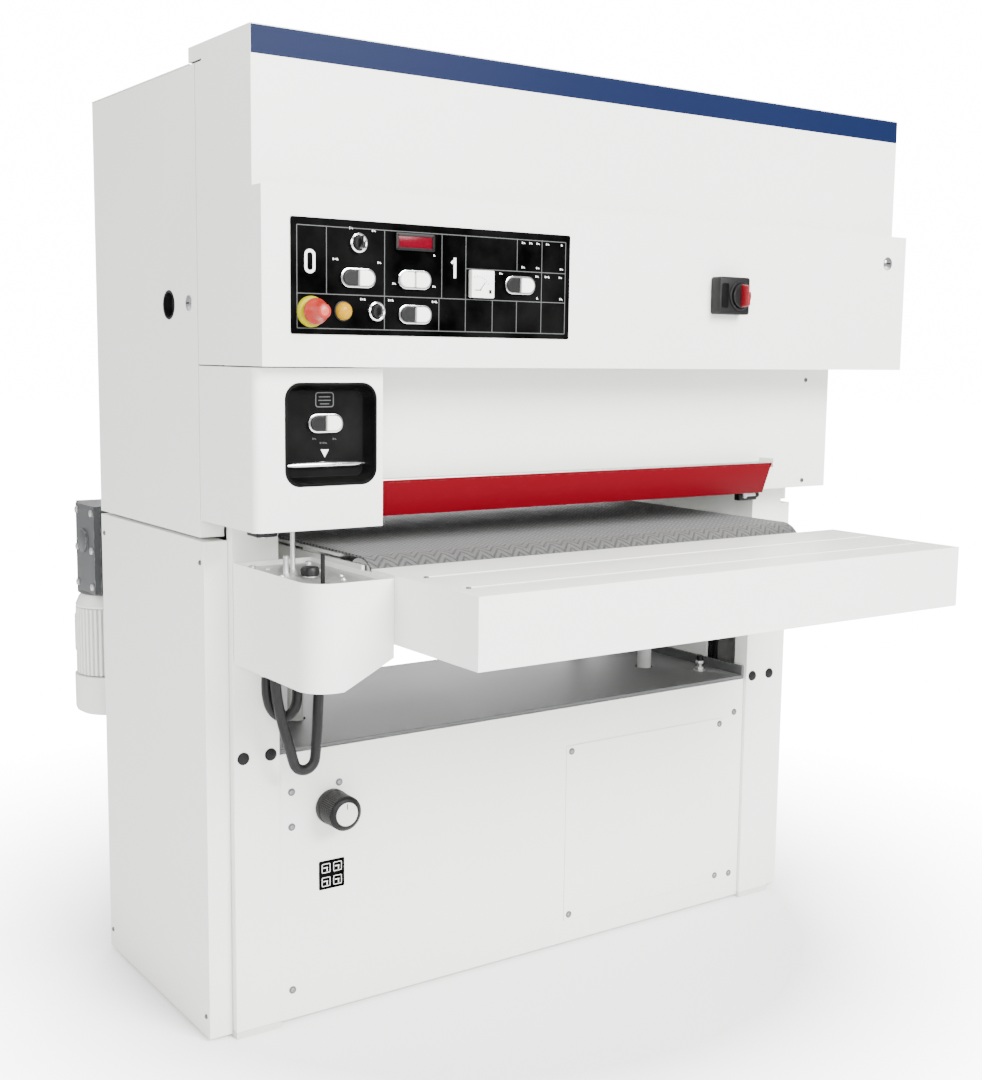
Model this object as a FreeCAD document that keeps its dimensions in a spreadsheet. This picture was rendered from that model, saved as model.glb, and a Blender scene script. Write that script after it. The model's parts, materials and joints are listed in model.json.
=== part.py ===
import FreeCAD, Part
import math
import os
import re

import Sketcher
from FreeCAD import Placement, Rotation, Vector

# Wide-belt sanding machine.  +X is the operator's right, +Y runs the way the board feeds,
# +Z is up.  The origin is on the floor, at the middle of the four anchor holes.
# Lengths are in millimetres; names ending in _front are distances forward of the origin.

doc = FreeCAD.newDocument("wide_belt_sander")
sheet = doc.addObject("Spreadsheet::Sheet", "Sizes")

SIZES = (
    # machine frame
    ("half_width", 685, "outer face of a side cover, from the centre"),
    ("half_depth", 250, "front or rear face of a column"),
    ("column_inner", 557, "inner face of a column's web"),
    ("column_outer", 642, "open outer side of a column"),
    ("column_top", 1594, "top of the columns"),
    ("frame_plate", 6, "steel of columns, shelf and top plates"),
    ("foot_thick", 12, "base plates"),
    ("anchor_x", 621, "anchor hole from the centre, across"),
    ("anchor_y", 200, "anchor hole from the centre, along"),
    ("anchor_hole", 9, "radius of an anchor hole"),
    ("sheet", 2, "covers' sheet steel"),
    ("seat_gap", 0.3, "clearance between seated pieces"),
    ("door_gap", 3, "gap in front of the side door, for its swing"),
    ("beam_size", 60, "square cross beams"),
    ("beam_y", 180, "lower cross beams from the centre"),
    ("motor_plate_left", -170, "plate under the main motor"),
    ("motor_plate_right", 270, "plate under the main motor"),
    ("motor_plate_thick", 8, "plate under the main motor"),
    ("seat_bar", 20, "bar the front covers screw to"),
    ("bearing_block", 37, "pressure roller bearings, from the column's web"),
    ("bearing_half", 25, "pressure roller bearings"),
    ("window_half", 95, "opening in the left column for the abrasive belt"),
    ("shaft_room", 8, "space round the shafts that pass a column"),
    ("inspection_near", 122, "inspection hole in the right column"),
    ("inspection_far", 212, "inspection hole in the right column"),
    ("shelf_top", 500, "shelf over the motor space"),
    ("shelf_fold", 20, "folded ends of the shelf"),
    ("access_left", 74, "access cover in the lower front"),
    ("access_right", 499, "access cover in the lower front"),
    ("access_low", 52, "access cover in the lower front"),
    ("access_high", 414, "access cover in the lower front"),
    ("access_lap", 22, "overlap of the access cover round its opening"),
    ("panel_top_gap", 8, "lower panels under the shelf"),
    ("rear_panel_low", 1020, "bottom of the upper rear panel"),
    ("panel_setback", 8, "lower front panel behind the columns' faces"),
    ("panel_return", 25, "folded edge of a panel"),
    ("cover_setback", 16, "side cover's front fold behind the column's face"),
    ("cover_low", 5, "bottom of the lower side covers"),
    ("seam_low", 870, "top of the lower side covers"),
    ("seam_high", 876, "bottom of the upper side covers"),
    ("upper_cover_rise", 39, "top of the upper side covers, over the columns"),
    ("upper_cover_front", 222, "front edge of the upper side covers"),
    ("rear_rise", 41.5, "top of the rear cover, over the columns"),
    ("collar_radius", 75, "extraction collars"),
    ("collar_length", 60, "extraction collars"),
    ("outlet_x", 250, "extraction collars from the centre"),
    ("outlet_z", 1300, "extraction collars"),
    # head
    ("hood_rise", 66, "top of the hood, over the columns"),
    ("hood_low", 1160, "underside of the hood"),
    ("hood_front", 429, "front face of the hood"),
    ("hood_step", 200, "where the hood meets the lower rear cover"),
    ("hood_right", 748, "right end of the hood, over the column"),
    ("door_right", 755, "right end of the cabinet door"),
    ("cabinet_front", 460, "front face of the cabinet door"),
    ("cabinet_top", 1427, "top of the cabinet door"),
    ("upper_panel_front", 330, "recessed panel over the feed opening"),
    ("upper_panel_low", 914, "its lower edge"),
    ("switch_low", 884, "underside of the safety bar's switch"),
    ("corner_front", 432, "front face of the left corner cover"),
    ("corner_low", 905, "underside of the left corner cover"),
    ("corner_top", 1158, "top of the left corner cover"),
    ("corner_right", 460, "right side of the left corner cover, left of the centre"),
    ("corner_round", 14, "rounded upright edge of the upper corner cover"),
    ("table_cover_round", 45, "rounded upright edge of the table's corner cover"),
    # sanding unit
    ("drum_y", -20, "contact drum's axis"),
    ("drum_z", 985, "contact drum's axis"),
    ("drum_radius", 80, "contact drum"),
    ("drum_half", 490, "half length of the contact drum"),
    ("journal", 25, "contact drum's journals"),
    ("running_gap", 0.05, "radial clearance of a running fit"),
    ("abrasive_half", 485, "half width of the abrasive belt"),
    ("abrasive_thick", 1, "abrasive belt"),
    ("tension_z", 1531, "tension roller's axis"),
    ("tension_radius", 50, "tension roller"),
    ("small_journal", 15, "journals of the smaller rollers"),
    ("post_radius", 20, "tension frame's guide post"),
    ("pressure_radius", 35, "pressure rollers"),
    ("pressure_z", 938, "pressure rollers' axes"),
    ("infeed_y", -170, "infeed pressure roller's axis"),
    ("outfeed_y", 130, "outfeed pressure roller's axis"),
    ("pressure_journal", 12, "pressure rollers' journals"),
    # table
    ("belt_half", 488, "half width of the feed belt"),
    ("belt_top", 855, "top of the feed belt at rest"),
    ("belt_thick", 4, "feed belt"),
    ("roller_radius", 45, "feed belt rollers"),
    ("front_roller_y", -406, "idler roller's axis"),
    ("drive_roller_y", 355, "drive roller's axis"),
    ("rail_inner", 490.3, "inner face of a table side plate"),
    ("rail_outer", 496, "outer face of a table side plate"),
    ("rail_top", 842, "top of the table side plates"),
    ("table_beam", 46, "depth of the table's cross beams"),
    ("table_beam_gap", 11, "cross beams under the feed belt"),
    ("extension_gap", 2.3, "infeed extension in front of the feed belt"),
    ("extension_front", 762, "front face of the infeed extension"),
    ("extension_right", 577, "right end of the infeed extension"),
    ("extension_top", 840, "top of the infeed extension"),
    ("extension_low", 730, "underside of the infeed extension"),
    ("extension_sheet", 3, "infeed extension's steel"),
    ("strip_depth", 1, "sunk strips in the infeed extension"),
    ("strip_wide", 14, "width of a sunk strip"),
    ("table_cover_front", 529, "front face of the table's corner cover"),
    ("table_cover_gap", 5, "table's corner cover in front of the column"),
    ("table_cover_top", 835, "top of the table's corner cover"),
    ("table_cover_low", 665, "underside of the table's corner cover"),
    ("chamfer_x", 585, "where its sloping underside starts"),
    ("chamfer_z", 709, "where its sloping underside ends"),
    ("gauge_z", 824, "recessed plate in the table's corner cover"),
    ("lift_x", 430, "lift screws from the centre"),
    ("lift_front_y", -60, "front pair of lift screws"),
    ("lift_rear_y", 180, "rear pair of lift screws"),
    ("lift_radius", 15, "lift screws"),
    ("lift_low", 300, "lower end of the lift screws at rest"),
    ("lift_beam_z", 380, "underside of the lift nut beams"),
    # feed drive
    ("gearbox_left", 671, "outer face of the gearbox"),
    ("gearbox_y", 390, "feed motor's axis"),
    ("feed_motor_x", 622, "feed motor's axis"),
    ("feed_motor_radius", 70, "feed motor"),
    ("feed_motor_low", 447, "lower end of the fan cowl"),
    ("cowl_top", 528, "upper end of the fan cowl"),
    ("feed_motor_top", 669, "upper end of the motor's body"),
    ("gearbox_low", 704, "underside of the gearbox"),
    ("gearbox_top", 878, "top of the gearbox"),
    # main drive
    ("motor_z", 184, "main motor's axis"),
    ("motor_radius", 100, "main motor"),
    ("motor_shaft", 19, "main motor's shaft"),
    ("pulley_left", 575, "left side of the pulleys"),
    ("pulley_right", 635, "right side of the pulleys"),
    ("motor_pulley", 75, "motor pulley"),
    ("drum_pulley", 60, "drum pulley"),
    ("vee_thick", 8, "V-belts"),
    ("vee_wide", 10, "V-belts"),
    # controls
    ("lock_barrel", 10, "door locks"),
    ("side_lock_y", -191, "side door's lock"),
    ("side_lock_z", 1259, "side door's lock and finger hole"),
    ("finger_y", -105, "side door's finger hole"),
    ("finger_radius", 22.5, "side door's finger hole"),
    ("panel_left", 638, "left edge of the control panel"),
    ("panel_right", 111, "right edge of the control panel, left of the centre"),
    ("panel_low", 1209, "lower edge of the control panel"),
    ("panel_high", 1383, "upper edge of the control panel"),
    ("button_wide", 26, "push buttons"),
    ("button_high", 24, "push buttons"),
    ("button_pitch", 29, "spacing in a pair of push buttons"),
    ("button_proud", 8, "push buttons, in front of their panel"),
    ("pocket_left", 634, "pocket in the left corner cover"),
    ("pocket_right", 472, "pocket in the left corner cover"),
    ("pocket_low", 974, "pocket in the left corner cover"),
    ("pocket_high", 1135, "pocket in the left corner cover"),
    ("pocket_depth", 30, "depth of the pocket's tray"),
    ("pocket_round", 26, "corners of the pocket"),
    ("knob_x", -453, "feed speed knob"),
    ("knob_z", 384, "feed speed knob"),
    ("knob_radius", 32, "feed speed knob"),
)

for line, (alias, amount, note) in enumerate(SIZES, 1):
    sheet.set(f"A{line}", note)
    sheet.set(f"B{line}", str(amount))
    sheet.setAlias(f"B{line}", alias)
doc.recompute()

ALIASES = {alias for alias, _, _ in SIZES}
TURNS = {
    "x": Rotation(Vector(0, 1, 0), 90),
    "y": Rotation(Vector(1, 0, 0), -90),
    "z": Rotation(),
}
nodes = []


def formula(text):
    # an expression on the sheet, from plain alias names
    return re.sub(r"[a-z_]+", lambda word: f"Sizes.{word[0]}" if word[0] in ALIASES else word[0], str(text))


def size(alias):
    return float(sheet.get(alias))


def keep(label, thing):
    thing.Label = label
    nodes.append(thing)
    return thing


def place(thing, x, y, z):
    for letter, text in zip("xyz", (x, y, z)):
        thing.setExpression(f"Placement.Base.{letter}", formula(text))


def block(name, x, y, z):
    # a box between two formulas along each axis
    thing = doc.addObject("Part::Box", name)
    for side, (low, high) in zip(("Length", "Width", "Height"), (x, y, z)):
        thing.setExpression(side, formula(f"({high}) - ({low})"))
    place(thing, x[0], y[0], z[0])
    return thing


def rod(name, axis, start, radius, length):
    thing = doc.addObject("Part::Cylinder", name)
    thing.Placement = Placement(Vector(), TURNS[axis])
    thing.setExpression("Radius", formula(radius))
    thing.setExpression("Height", formula(length))
    place(thing, *start)
    return thing


def join(name, *pieces):
    thing = doc.addObject("Part::MultiFuse", name)
    thing.Shapes = list(pieces)
    return thing


def group(name, *pieces):
    thing = doc.addObject("Part::Compound", name)
    thing.Links = list(pieces)
    return thing


def cut(name, base, *tools):
    thing = doc.addObject("Part::Cut", name)
    thing.Base = base
    thing.Tool = tools[0] if len(tools) == 1 else join(f"{name}_tools", *tools)
    return thing


def body_plane(body, role):
    return next(item for item in body.Origin.OriginFeatures if item.Role == role)


def outline(body, name, role, corners):
    # a closed sketch whose every corner is held by two formulas
    sketch = body.newObject("Sketcher::SketchObject", name)
    sketch.AttachmentSupport = [(body_plane(body, role), "")]
    sketch.MapMode = "FlatFace"
    count = len(corners)
    spots = [Vector(100 * math.cos(n), 100 * math.sin(n), 0) for n in range(count)]
    for n in range(count):
        sketch.addGeometry(Part.LineSegment(spots[n], spots[(n + 1) % count]), False)
    for n in range(count):
        sketch.addConstraint(Sketcher.Constraint("Coincident", n, 2, (n + 1) % count, 1))
    for n, corner in enumerate(corners):
        for kind, spot, text in zip(("DistanceX", "DistanceY"), (spots[n].x, spots[n].y), corner):
            number = sketch.addConstraint(Sketcher.Constraint(kind, -1, 1, n, 1, spot))
            sketch.setExpression(f"Constraints[{number}]", formula(text))
    return sketch


def turned(name, axis, start, profile):
    # a turned piece from (radius, height) corners, its axis starting at start
    body = doc.addObject("PartDesign::Body", name)
    sketch = outline(body, f"{name}_profile", "XZ_Plane", profile)
    spin = body.newObject("PartDesign::Revolution", f"{name}_turning")
    spin.Profile = sketch
    spin.ReferenceAxis = (sketch, ["V_Axis"])
    spin.Angle = 360
    body.Placement = Placement(Vector(), TURNS[axis])
    place(body, *start)
    return body


def folded(name, role, corners, low, high):
    # a sketch pulled straight from low to high along its plane's axis
    body = doc.addObject("PartDesign::Body", name)
    sketch = outline(body, f"{name}_outline", role, corners)
    start = f"-({high})" if role == "XZ_Plane" else low
    sketch.setExpression("AttachmentOffset.Base.z", formula(start))
    pad = body.newObject("PartDesign::Pad", f"{name}_pad")
    pad.Profile = sketch
    pad.setExpression("Length", formula(f"({high}) - ({low})"))
    return body


def rounded(body, radius, wanted):
    # fillets the tip's edges that wanted() picks
    doc.recompute()
    last = body.Tip
    edges = [f"Edge{n}" for n, edge in enumerate(last.Shape.Edges, 1) if wanted(edge)]
    fillet = body.newObject("PartDesign::Fillet", f"{body.Name}_rounding")
    fillet.Base = (last, edges)
    fillet.setExpression("Radius", formula(radius))
    return body


def edges_along(axis, *lines):
    # picks straight edges along an axis whose other two coordinates are listed
    others = [n for n in range(3) if n != axis]

    def wanted(edge):
        ends = [v.Point for v in edge.Vertexes]
        if len(ends) != 2 or abs(ends[0][axis] - ends[1][axis]) < 0.01:
            return False
        flat = all(abs(ends[0][n] - ends[1][n]) < 0.01 for n in others)
        return flat and any(all(abs(ends[0][n] - spot) < 0.01 for n, spot in zip(others, line)) for line in lines)
    return wanted


def ring_outline(front, front_radius, back, back_radius, x):
    # the closed line of a belt round two circles at x
    gap = back - front
    lean = math.asin((front_radius - back_radius) / gap.Length)
    along = Vector(gap).normalize()
    across = Vector(1, 0, 0).cross(along)
    upper = across * math.cos(lean) + along * math.sin(lean)
    lower = across * -math.cos(lean) + along * math.sin(lean)
    place_x = Vector(x, 0, 0)
    front, back = front + place_x, back + place_x
    corners = [front + upper * front_radius, back + upper * back_radius,
               back + lower * back_radius, front + lower * front_radius]
    return Part.Wire([
        Part.LineSegment(corners[0], corners[1]).toShape(),
        Part.Arc(corners[1], back + along * back_radius, corners[2]).toShape(),
        Part.LineSegment(corners[2], corners[3]).toShape(),
        Part.Arc(corners[3], front - along * front_radius, corners[0]).toShape(),
    ])


def belt_loop(front, front_radius, back, back_radius, thick, left, right):
    # a flat endless belt lying on two rollers
    outer = Part.Face(ring_outline(front, front_radius + thick, back, back_radius + thick, left))
    inner = Part.Face(ring_outline(front, front_radius, back, back_radius, left))
    return outer.cut(inner).extrude(Vector(right - left, 0, 0))


def shaped(name, shape):
    thing = doc.addObject("Part::Feature", name)
    thing.Shape = shape
    thing.Placement = Placement()
    return thing


# frame

def base_frame():
    feet = []
    for side in ("left", "right"):
        sign = "-" if side == "left" else ""
        ends = ("-column_outer", "-column_inner") if side == "left" else ("column_inner", "column_outer")
        foot = block(f"{side}_foot", ends, ("-half_depth", "half_depth"), (0, "foot_thick"))
        holes = [rod(f"{side}_anchor_hole{y}", "z", (f"{sign}anchor_x", f"{y}anchor_y", -1), "anchor_hole",
                     "foot_thick + 2") for y in ("-", "")]
        feet.append(cut(f"{side}_foot_drilled", foot, *holes))
    beams = [
        block(f"{name}_beam", ("-column_inner", "column_inner"),
              (f"{sign}beam_y - beam_size / 2", f"{sign}beam_y + beam_size / 2"),
              ("frame_plate", "frame_plate + beam_size"))
        for name, sign in (("front", "-"), ("rear", ""))
    ]
    plate = block("motor_plate", ("motor_plate_left", "motor_plate_right"),
                  ("-beam_y - beam_size / 2", "beam_y + beam_size / 2"),
                  ("frame_plate + beam_size", "frame_plate + beam_size + motor_plate_thick"))
    lift_beams = []
    for name in ("front", "rear"):
        beam = block(f"{name}_lift_beam", ("-column_inner", "column_inner"),
                     (f"lift_{name}_y - beam_size / 2", f"lift_{name}_y + beam_size / 2"),
                     ("lift_beam_z", "lift_beam_z + beam_size"))
        bores = [
            rod(f"{name}_lift_bore{sign}", "z", (f"{sign}lift_x", f"lift_{name}_y", "lift_beam_z - 1"),
                "lift_radius + running_gap", "beam_size + 2")
            for sign in ("-", "")
        ]
        lift_beams.append(cut(f"{name}_nut_beam", beam, *bores))
    return group("base_frame", *feet, *beams, plate, *lift_beams)


def column(side):
    # folded channel, open outwards, with bosses for the roller bearings
    sign = "-" if side == "left" else ""

    def span(near, far):
        return (f"-({far})", f"-({near})") if side == "left" else (near, far)

    shell = block(f"{side}_column_outer", span("column_inner", "column_outer"),
                  ("-half_depth", "half_depth"), ("foot_thick", "column_top"))
    hollow = block(f"{side}_column_hollow", span("column_inner + frame_plate", "column_outer + 1"),
                   ("-half_depth + frame_plate", "half_depth - frame_plate"), ("foot_thick - 1", "column_top + 1"))
    channel = cut(f"{side}_channel", shell, hollow)
    pieces = [
        channel,
        block(f"{side}_seat_bar", span("column_outer - seat_bar", "column_outer"),
              ("-half_depth + frame_plate", "-half_depth + cover_setback + 4"), ("foot_thick", "column_top")),
        block(f"{side}_top_plate", span("column_inner", "half_width - sheet - seat_gap"),
              ("-hood_step + 1", "hood_step"), ("column_top", "column_top + frame_plate")),
    ]
    cuts = []
    for name in ("infeed", "outfeed"):
        pieces.append(block(f"{side}_{name}_block", span("column_inner - bearing_block", "column_inner"),
                            (f"{name}_y - bearing_half", f"{name}_y + bearing_half"),
                            ("pressure_z - bearing_half", "pressure_z + bearing_half * 2.4")))
        start = "-column_inner" if side == "left" else "column_inner - bearing_block - 1"
        cuts.append(rod(f"{side}_{name}_bore", "x", (start, f"{name}_y", "pressure_z"),
                        "pressure_journal + running_gap", "bearing_block + 1"))
    if side == "left":
        cuts.append(block("belt_window", ("-column_inner - frame_plate - 1", "-column_inner + 1"),
                          ("drum_y - window_half", "drum_y + window_half"),
                          ("drum_z - window_half + 5", "column_top - window_half + 65")))
    else:
        cuts.append(rod("drum_shaft_hole", "x", ("column_inner - 1", "drum_y", "drum_z"),
                        "journal + shaft_room", "frame_plate + 2"))
        cuts.append(rod("motor_shaft_hole", "x", ("column_inner - 1", 0, "motor_z"),
                        "motor_shaft + shaft_room", "frame_plate + 2"))
        cuts.append(block("inspection_hole", ("column_inner - 1", "column_inner + frame_plate + 1"),
                          ("-inspection_far", "-inspection_near"), ("shelf_top + 18", "shelf_top + 82")))
    return cut(f"{side}_column", join(f"{side}_column_weldment", *pieces), *cuts)


def shelf():
    plate = block("shelf_plate", ("-column_inner + seat_gap", "column_inner - seat_gap"),
                  ("-half_depth + panel_setback", "half_depth - panel_setback"),
                  ("shelf_top - frame_plate", "shelf_top"))
    edges = [
        block(f"shelf_edge{sign}", (f"{sign}(column_inner - 3.3) - 3", f"{sign}(column_inner - 3.3) + 3"),
              ("-half_depth + panel_setback", "half_depth - panel_setback"), ("shelf_top", "shelf_top + shelf_fold"))
        for sign in ("-", "")
    ]
    holes = [
        rod(f"shelf_hole_{name}{sign}", "z", (f"{sign}lift_x", f"lift_{name}_y", "shelf_top - frame_plate - 1"),
            "lift_radius + 4", "frame_plate + 2")
        for name in ("front", "rear") for sign in ("-", "")
    ]
    return cut("shelf", join("shelf_folded", plate, *edges), *holes)


def pan(name, x, y, z, open_side, sheet_size="sheet"):
    # folded sheet box with one side open; open_side is such as "+x"
    spans = {"x": list(x), "y": list(y), "z": list(z)}
    outer = block(f"{name}_outer", x, y, z)
    inner = {}
    for letter, (low, high) in spans.items():
        inner[letter] = [f"{low} + {sheet_size}", f"{high} - {sheet_size}"]
    for mark in open_side.split():
        low, high = spans[mark[1]]
        if mark[0] == "+":
            inner[mark[1]][1] = f"{high} + 1"
        else:
            inner[mark[1]][0] = f"{low} - 1"
    hollow = block(f"{name}_hollow", inner["x"], inner["y"], inner["z"])
    return outer, hollow


def lower_front_panel():
    outer, hollow = pan("front_pan", ("-column_inner + seat_gap", "column_inner - seat_gap"),
                        ("-half_depth + panel_setback", "-half_depth + panel_setback + panel_return"),
                        ("frame_plate", "shelf_top - panel_top_gap"), "+y")
    opening = block("access_opening", ("access_left + access_lap", "access_right - access_lap"),
                    ("-half_depth", "-half_depth + panel_setback + sheet + 1"),
                    ("access_low + access_lap", "access_high - access_lap"))
    knob_hole = rod("knob_hole", "y", ("knob_x", "-half_depth", "knob_z"), "5 + running_gap", 20)
    return cut("lower_front_panel", outer, hollow, opening, knob_hole)


def access_cover():
    return block("access_cover", ("access_left", "access_right"),
                 ("-half_depth + panel_setback - sheet", "-half_depth + panel_setback"),
                 ("access_low", "access_high"))


def rear_covers():
    low = cut("rear_lower_panel", *pan("rear_pan", ("-column_inner + seat_gap", "column_inner - seat_gap"),
              ("half_depth - panel_setback - panel_return", "half_depth - panel_setback"),
              ("frame_plate", "shelf_top - panel_top_gap"), "-y"))
    outer, hollow = pan("rear_upper_pan", ("-column_inner + seat_gap", "column_inner - seat_gap"),
                        ("half_depth - panel_setback - panel_return", "half_depth - panel_setback"),
                        ("rear_panel_low", "column_top"), "-y")
    outlets = [rod(f"outlet{sign}", "y", (f"{sign}outlet_x", "half_depth - panel_return - 15", "outlet_z"),
                   "collar_radius - sheet", 60) for sign in ("-", "")]
    high = cut("rear_upper_panel", outer, hollow, *outlets)
    collars = []
    for sign in ("-", ""):
        start = (f"{sign}outlet_x", "half_depth - panel_setback", "outlet_z")
        tube = rod(f"collar_outer{sign}", "y", start, "collar_radius", "collar_length")
        bore = rod(f"collar_bore{sign}", "y", start, "collar_radius - sheet", "collar_length")
        collars.append(cut(f"collar{sign}", tube, bore))
    top = join("rear_top_panel",
               cut("rear_top_folded", *pan("rear_top_pan", ("-column_outer + 1", "column_outer - 1"),
                   ("-hood_step + seat_gap", "half_depth"), ("column_top + frame_plate", "column_top + rear_rise"), "-z")),
               block("rear_top_sheet", ("-half_width", "half_width"), ("-hood_step + seat_gap", "half_depth"),
                     ("column_top + rear_rise - sheet", "column_top + rear_rise")))
    return group("rear_covers", low, high, top, *collars)


def side_cover(name, side, front, back, low, high):
    near, far = "column_outer + seat_gap", "half_width"
    x = (f"-({far})", f"-({near})") if side == "left" else (near, far)
    outer, hollow = pan(f"{name}_pan", x, (f"-({front})", back), (low, high), "+x" if side == "left" else "-x")
    return outer, hollow


def lower_side_cover(side):
    parts = side_cover(f"{side}_lower", side, "half_depth - cover_setback", "half_depth - sheet",
                       "cover_low", "seam_low")
    return cut(f"{side}_lower_cover", *parts)


def upper_side_cover():
    parts = side_cover("right_upper", "right", "upper_cover_front", "half_depth - sheet",
                       "seam_high", "column_top + upper_cover_rise")
    return cut("right_upper_cover", *parts)


def left_door():
    parts = side_cover("left_upper", "left", "upper_cover_front", "half_depth - sheet",
                       "seam_high", "column_top + upper_cover_rise")
    finger = rod("finger_hole", "x", ("-half_width - 1", "finger_y", "side_lock_z"), "finger_radius", "sheet + 2")
    lock = rod("side_lock_hole", "x", ("-half_width - 1", "side_lock_y", "side_lock_z"),
               "lock_barrel + running_gap", "sheet + 2")
    return cut("left_upper_door", *parts, finger, lock)


# head

def hood_shell():
    back = "-half_depth - seat_gap"
    outer, hollow = pan("hood_pan", ("-half_width", "hood_right"), ("-hood_front", back),
                        ("hood_low", "column_top + hood_rise"), "+y")
    front = block("cabinet_opening", ("-half_width + 20", "hood_right - 20"), ("-hood_front - 1", "-hood_front + 4"),
                  ("hood_low + 20", "cabinet_top - 20"))
    shell = cut("hood_box", outer, hollow, front)
    pieces = [shell]
    for name, x in (("left", ("-half_width", "-half_width + sheet")), ("right", ("half_width - sheet", "half_width"))):
        pieces.append(block(f"hood_{name}_flange", x, (f"{back} - 1", "-upper_cover_front - door_gap"),
                            ("hood_low", "column_top + upper_cover_rise")))
    pieces.append(block("hood_overhang_back", ("column_outer", "hood_right"), (f"{back} - sheet", back),
                        ("hood_low", "column_top + hood_rise")))
    lip, lip_hollow = pan("hood_lip", ("-half_width", "half_width"), (f"{back} - 1", "-hood_step"),
                          ("column_top + rear_rise + 0.5", "column_top + hood_rise"), "-y -z")
    pieces.append(cut("hood_lip_folded", lip, lip_hollow))
    return join("hood_shell", *pieces)


def electrical_plate():
    back = "-half_depth - seat_gap"
    plate = block("mounting_plate", (-600, 600), (f"{back} - 3", back), ("hood_low + 30", "column_top + hood_rise - 80"))
    gear = []
    for n in range(7):
        left = -480 + n * 62
        gear.append(block(f"contactor_{n}", (left, left + 46), (f"{back} - 90", f"{back} - 3"), (1300, 1380)))
    gear.append(block("inverter", (60, 210), (f"{back} - 130", f"{back} - 3"), (1240, 1520)))
    gear.append(block("transformer", (290, 400), (f"{back} - 110", f"{back} - 3"), (1260, 1360)))
    gear.append(block("terminal_rail", (-500, 0), (f"{back} - 45", f"{back} - 3"), (1210, 1255)))
    return group("electrical_plate", plate, *gear)


def upper_front_panel():
    back = "-half_depth - seat_gap"
    outer, hollow = pan("upper_pan", ("-corner_right + seat_gap", "half_width"), ("-upper_panel_front", back),
                        ("upper_panel_low", "hood_low - seat_gap"), "+y")
    shell = cut("upper_sheet", outer, hollow)
    lugs = []
    for name, x in (("left", ("-corner_right + seat_gap", "-corner_right + 3.7")), ("right", (490.5, 496))):
        ear = block(f"{name}_lug", x, (-369, "-upper_panel_front + 1"), (962, 980))
        bore = rod(f"{name}_lug_bore", "x", (x[0], -360, 971), "4 + running_gap", 8)
        lugs.append(cut(f"{name}_lug_drilled", ear, bore))
    return join("upper_front_panel", shell, *lugs)


def corner_cover():
    back = "-half_depth - seat_gap"
    skin = folded("corner_skin", "XY_Plane", [
        ("-half_width", "-corner_front"), ("-corner_right", "-corner_front"),
        ("-corner_right", back), ("-half_width", back)], "corner_low", "corner_top")
    front_left = edges_along(2, (-size("half_width"), -size("corner_front")))
    rounded(skin, "corner_round", front_left)
    hollow = folded("corner_hollow", "XY_Plane", [
        ("-half_width + sheet", "-corner_front + sheet"), ("-corner_right - sheet", "-corner_front + sheet"),
        ("-corner_right - sheet", 0), ("-half_width + sheet", 0)], "corner_low + sheet", "corner_top - sheet")
    inner_edge = edges_along(2, (-size("half_width") + size("sheet"), -size("corner_front") + size("sheet")))
    rounded(hollow, "corner_round - sheet", inner_edge)
    hole = rounded_plate("pocket_hole", ("-pocket_left", "-pocket_right"), ("pocket_low", "pocket_high"),
                         "-corner_front - 1", "-corner_front + sheet + 1", "pocket_round")
    slot = rod("gauge_slot", "z", (-560, -309, "corner_low - 1"), 8, "sheet + 2")
    flange = block("corner_flange", ("-half_width", "-half_width + sheet"),
                   (f"{back} - 1", "-upper_cover_front - door_gap"), ("corner_low", "corner_top"))
    return join("upper_left_cover", cut("corner_cut", skin, hollow, hole, slot), flange)


def rounded_plate(name, x, z, front, back, radius):
    # an upright plate from front to back with its four corners rounded
    plate = folded(name, "XZ_Plane", [(x[0], z[0]), (x[1], z[0]), (x[1], z[1]), (x[0], z[1])], front, back)

    def corners(edge):
        ends = [v.Point for v in edge.Vertexes]
        return abs(ends[0].x - ends[1].x) < 0.01 and abs(ends[0].z - ends[1].z) < 0.01
    return rounded(plate, radius, corners)


def button_hole(name, x, y, z, depth):
    # clearance hole round one push button, x, y and z being its centre and the panel's front
    return block(name, (f"{x} - button_wide / 2 - seat_gap", f"{x} + button_wide / 2 + seat_gap"),
                 (f"{y} - 1", f"{y} + {depth}"),
                 (f"{z} - button_high / 2 - seat_gap", f"{z} + button_high / 2 + seat_gap"))


def button(name, pair_x, side, y, z):
    # half of an oval pair: square where the two meet, round at the outer end
    x = f"{pair_x} {side} button_pitch / 2"
    cap = folded(name, "XZ_Plane", [
        (f"{x} - button_wide / 2", f"{z} - button_high / 2"), (f"{x} + button_wide / 2", f"{z} - button_high / 2"),
        (f"{x} + button_wide / 2", f"{z} + button_high / 2"), (f"{x} - button_wide / 2", f"{z} + button_high / 2")],
        f"{y} - button_proud", f"{y} + 10")
    outwards = -1 if side == "-" else 1
    outer_x = pair_x + outwards * (size("button_pitch") + size("button_wide")) / 2
    ends = edges_along(1, (outer_x, z - size("button_high") / 2), (outer_x, z + size("button_high") / 2))
    return rounded(cap, "button_high / 2 - 0.2", ends)


POCKET_X, POCKET_Z = -553, 1071
POCKET_Y = "-corner_front - sheet + pocket_depth - 4"


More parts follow.
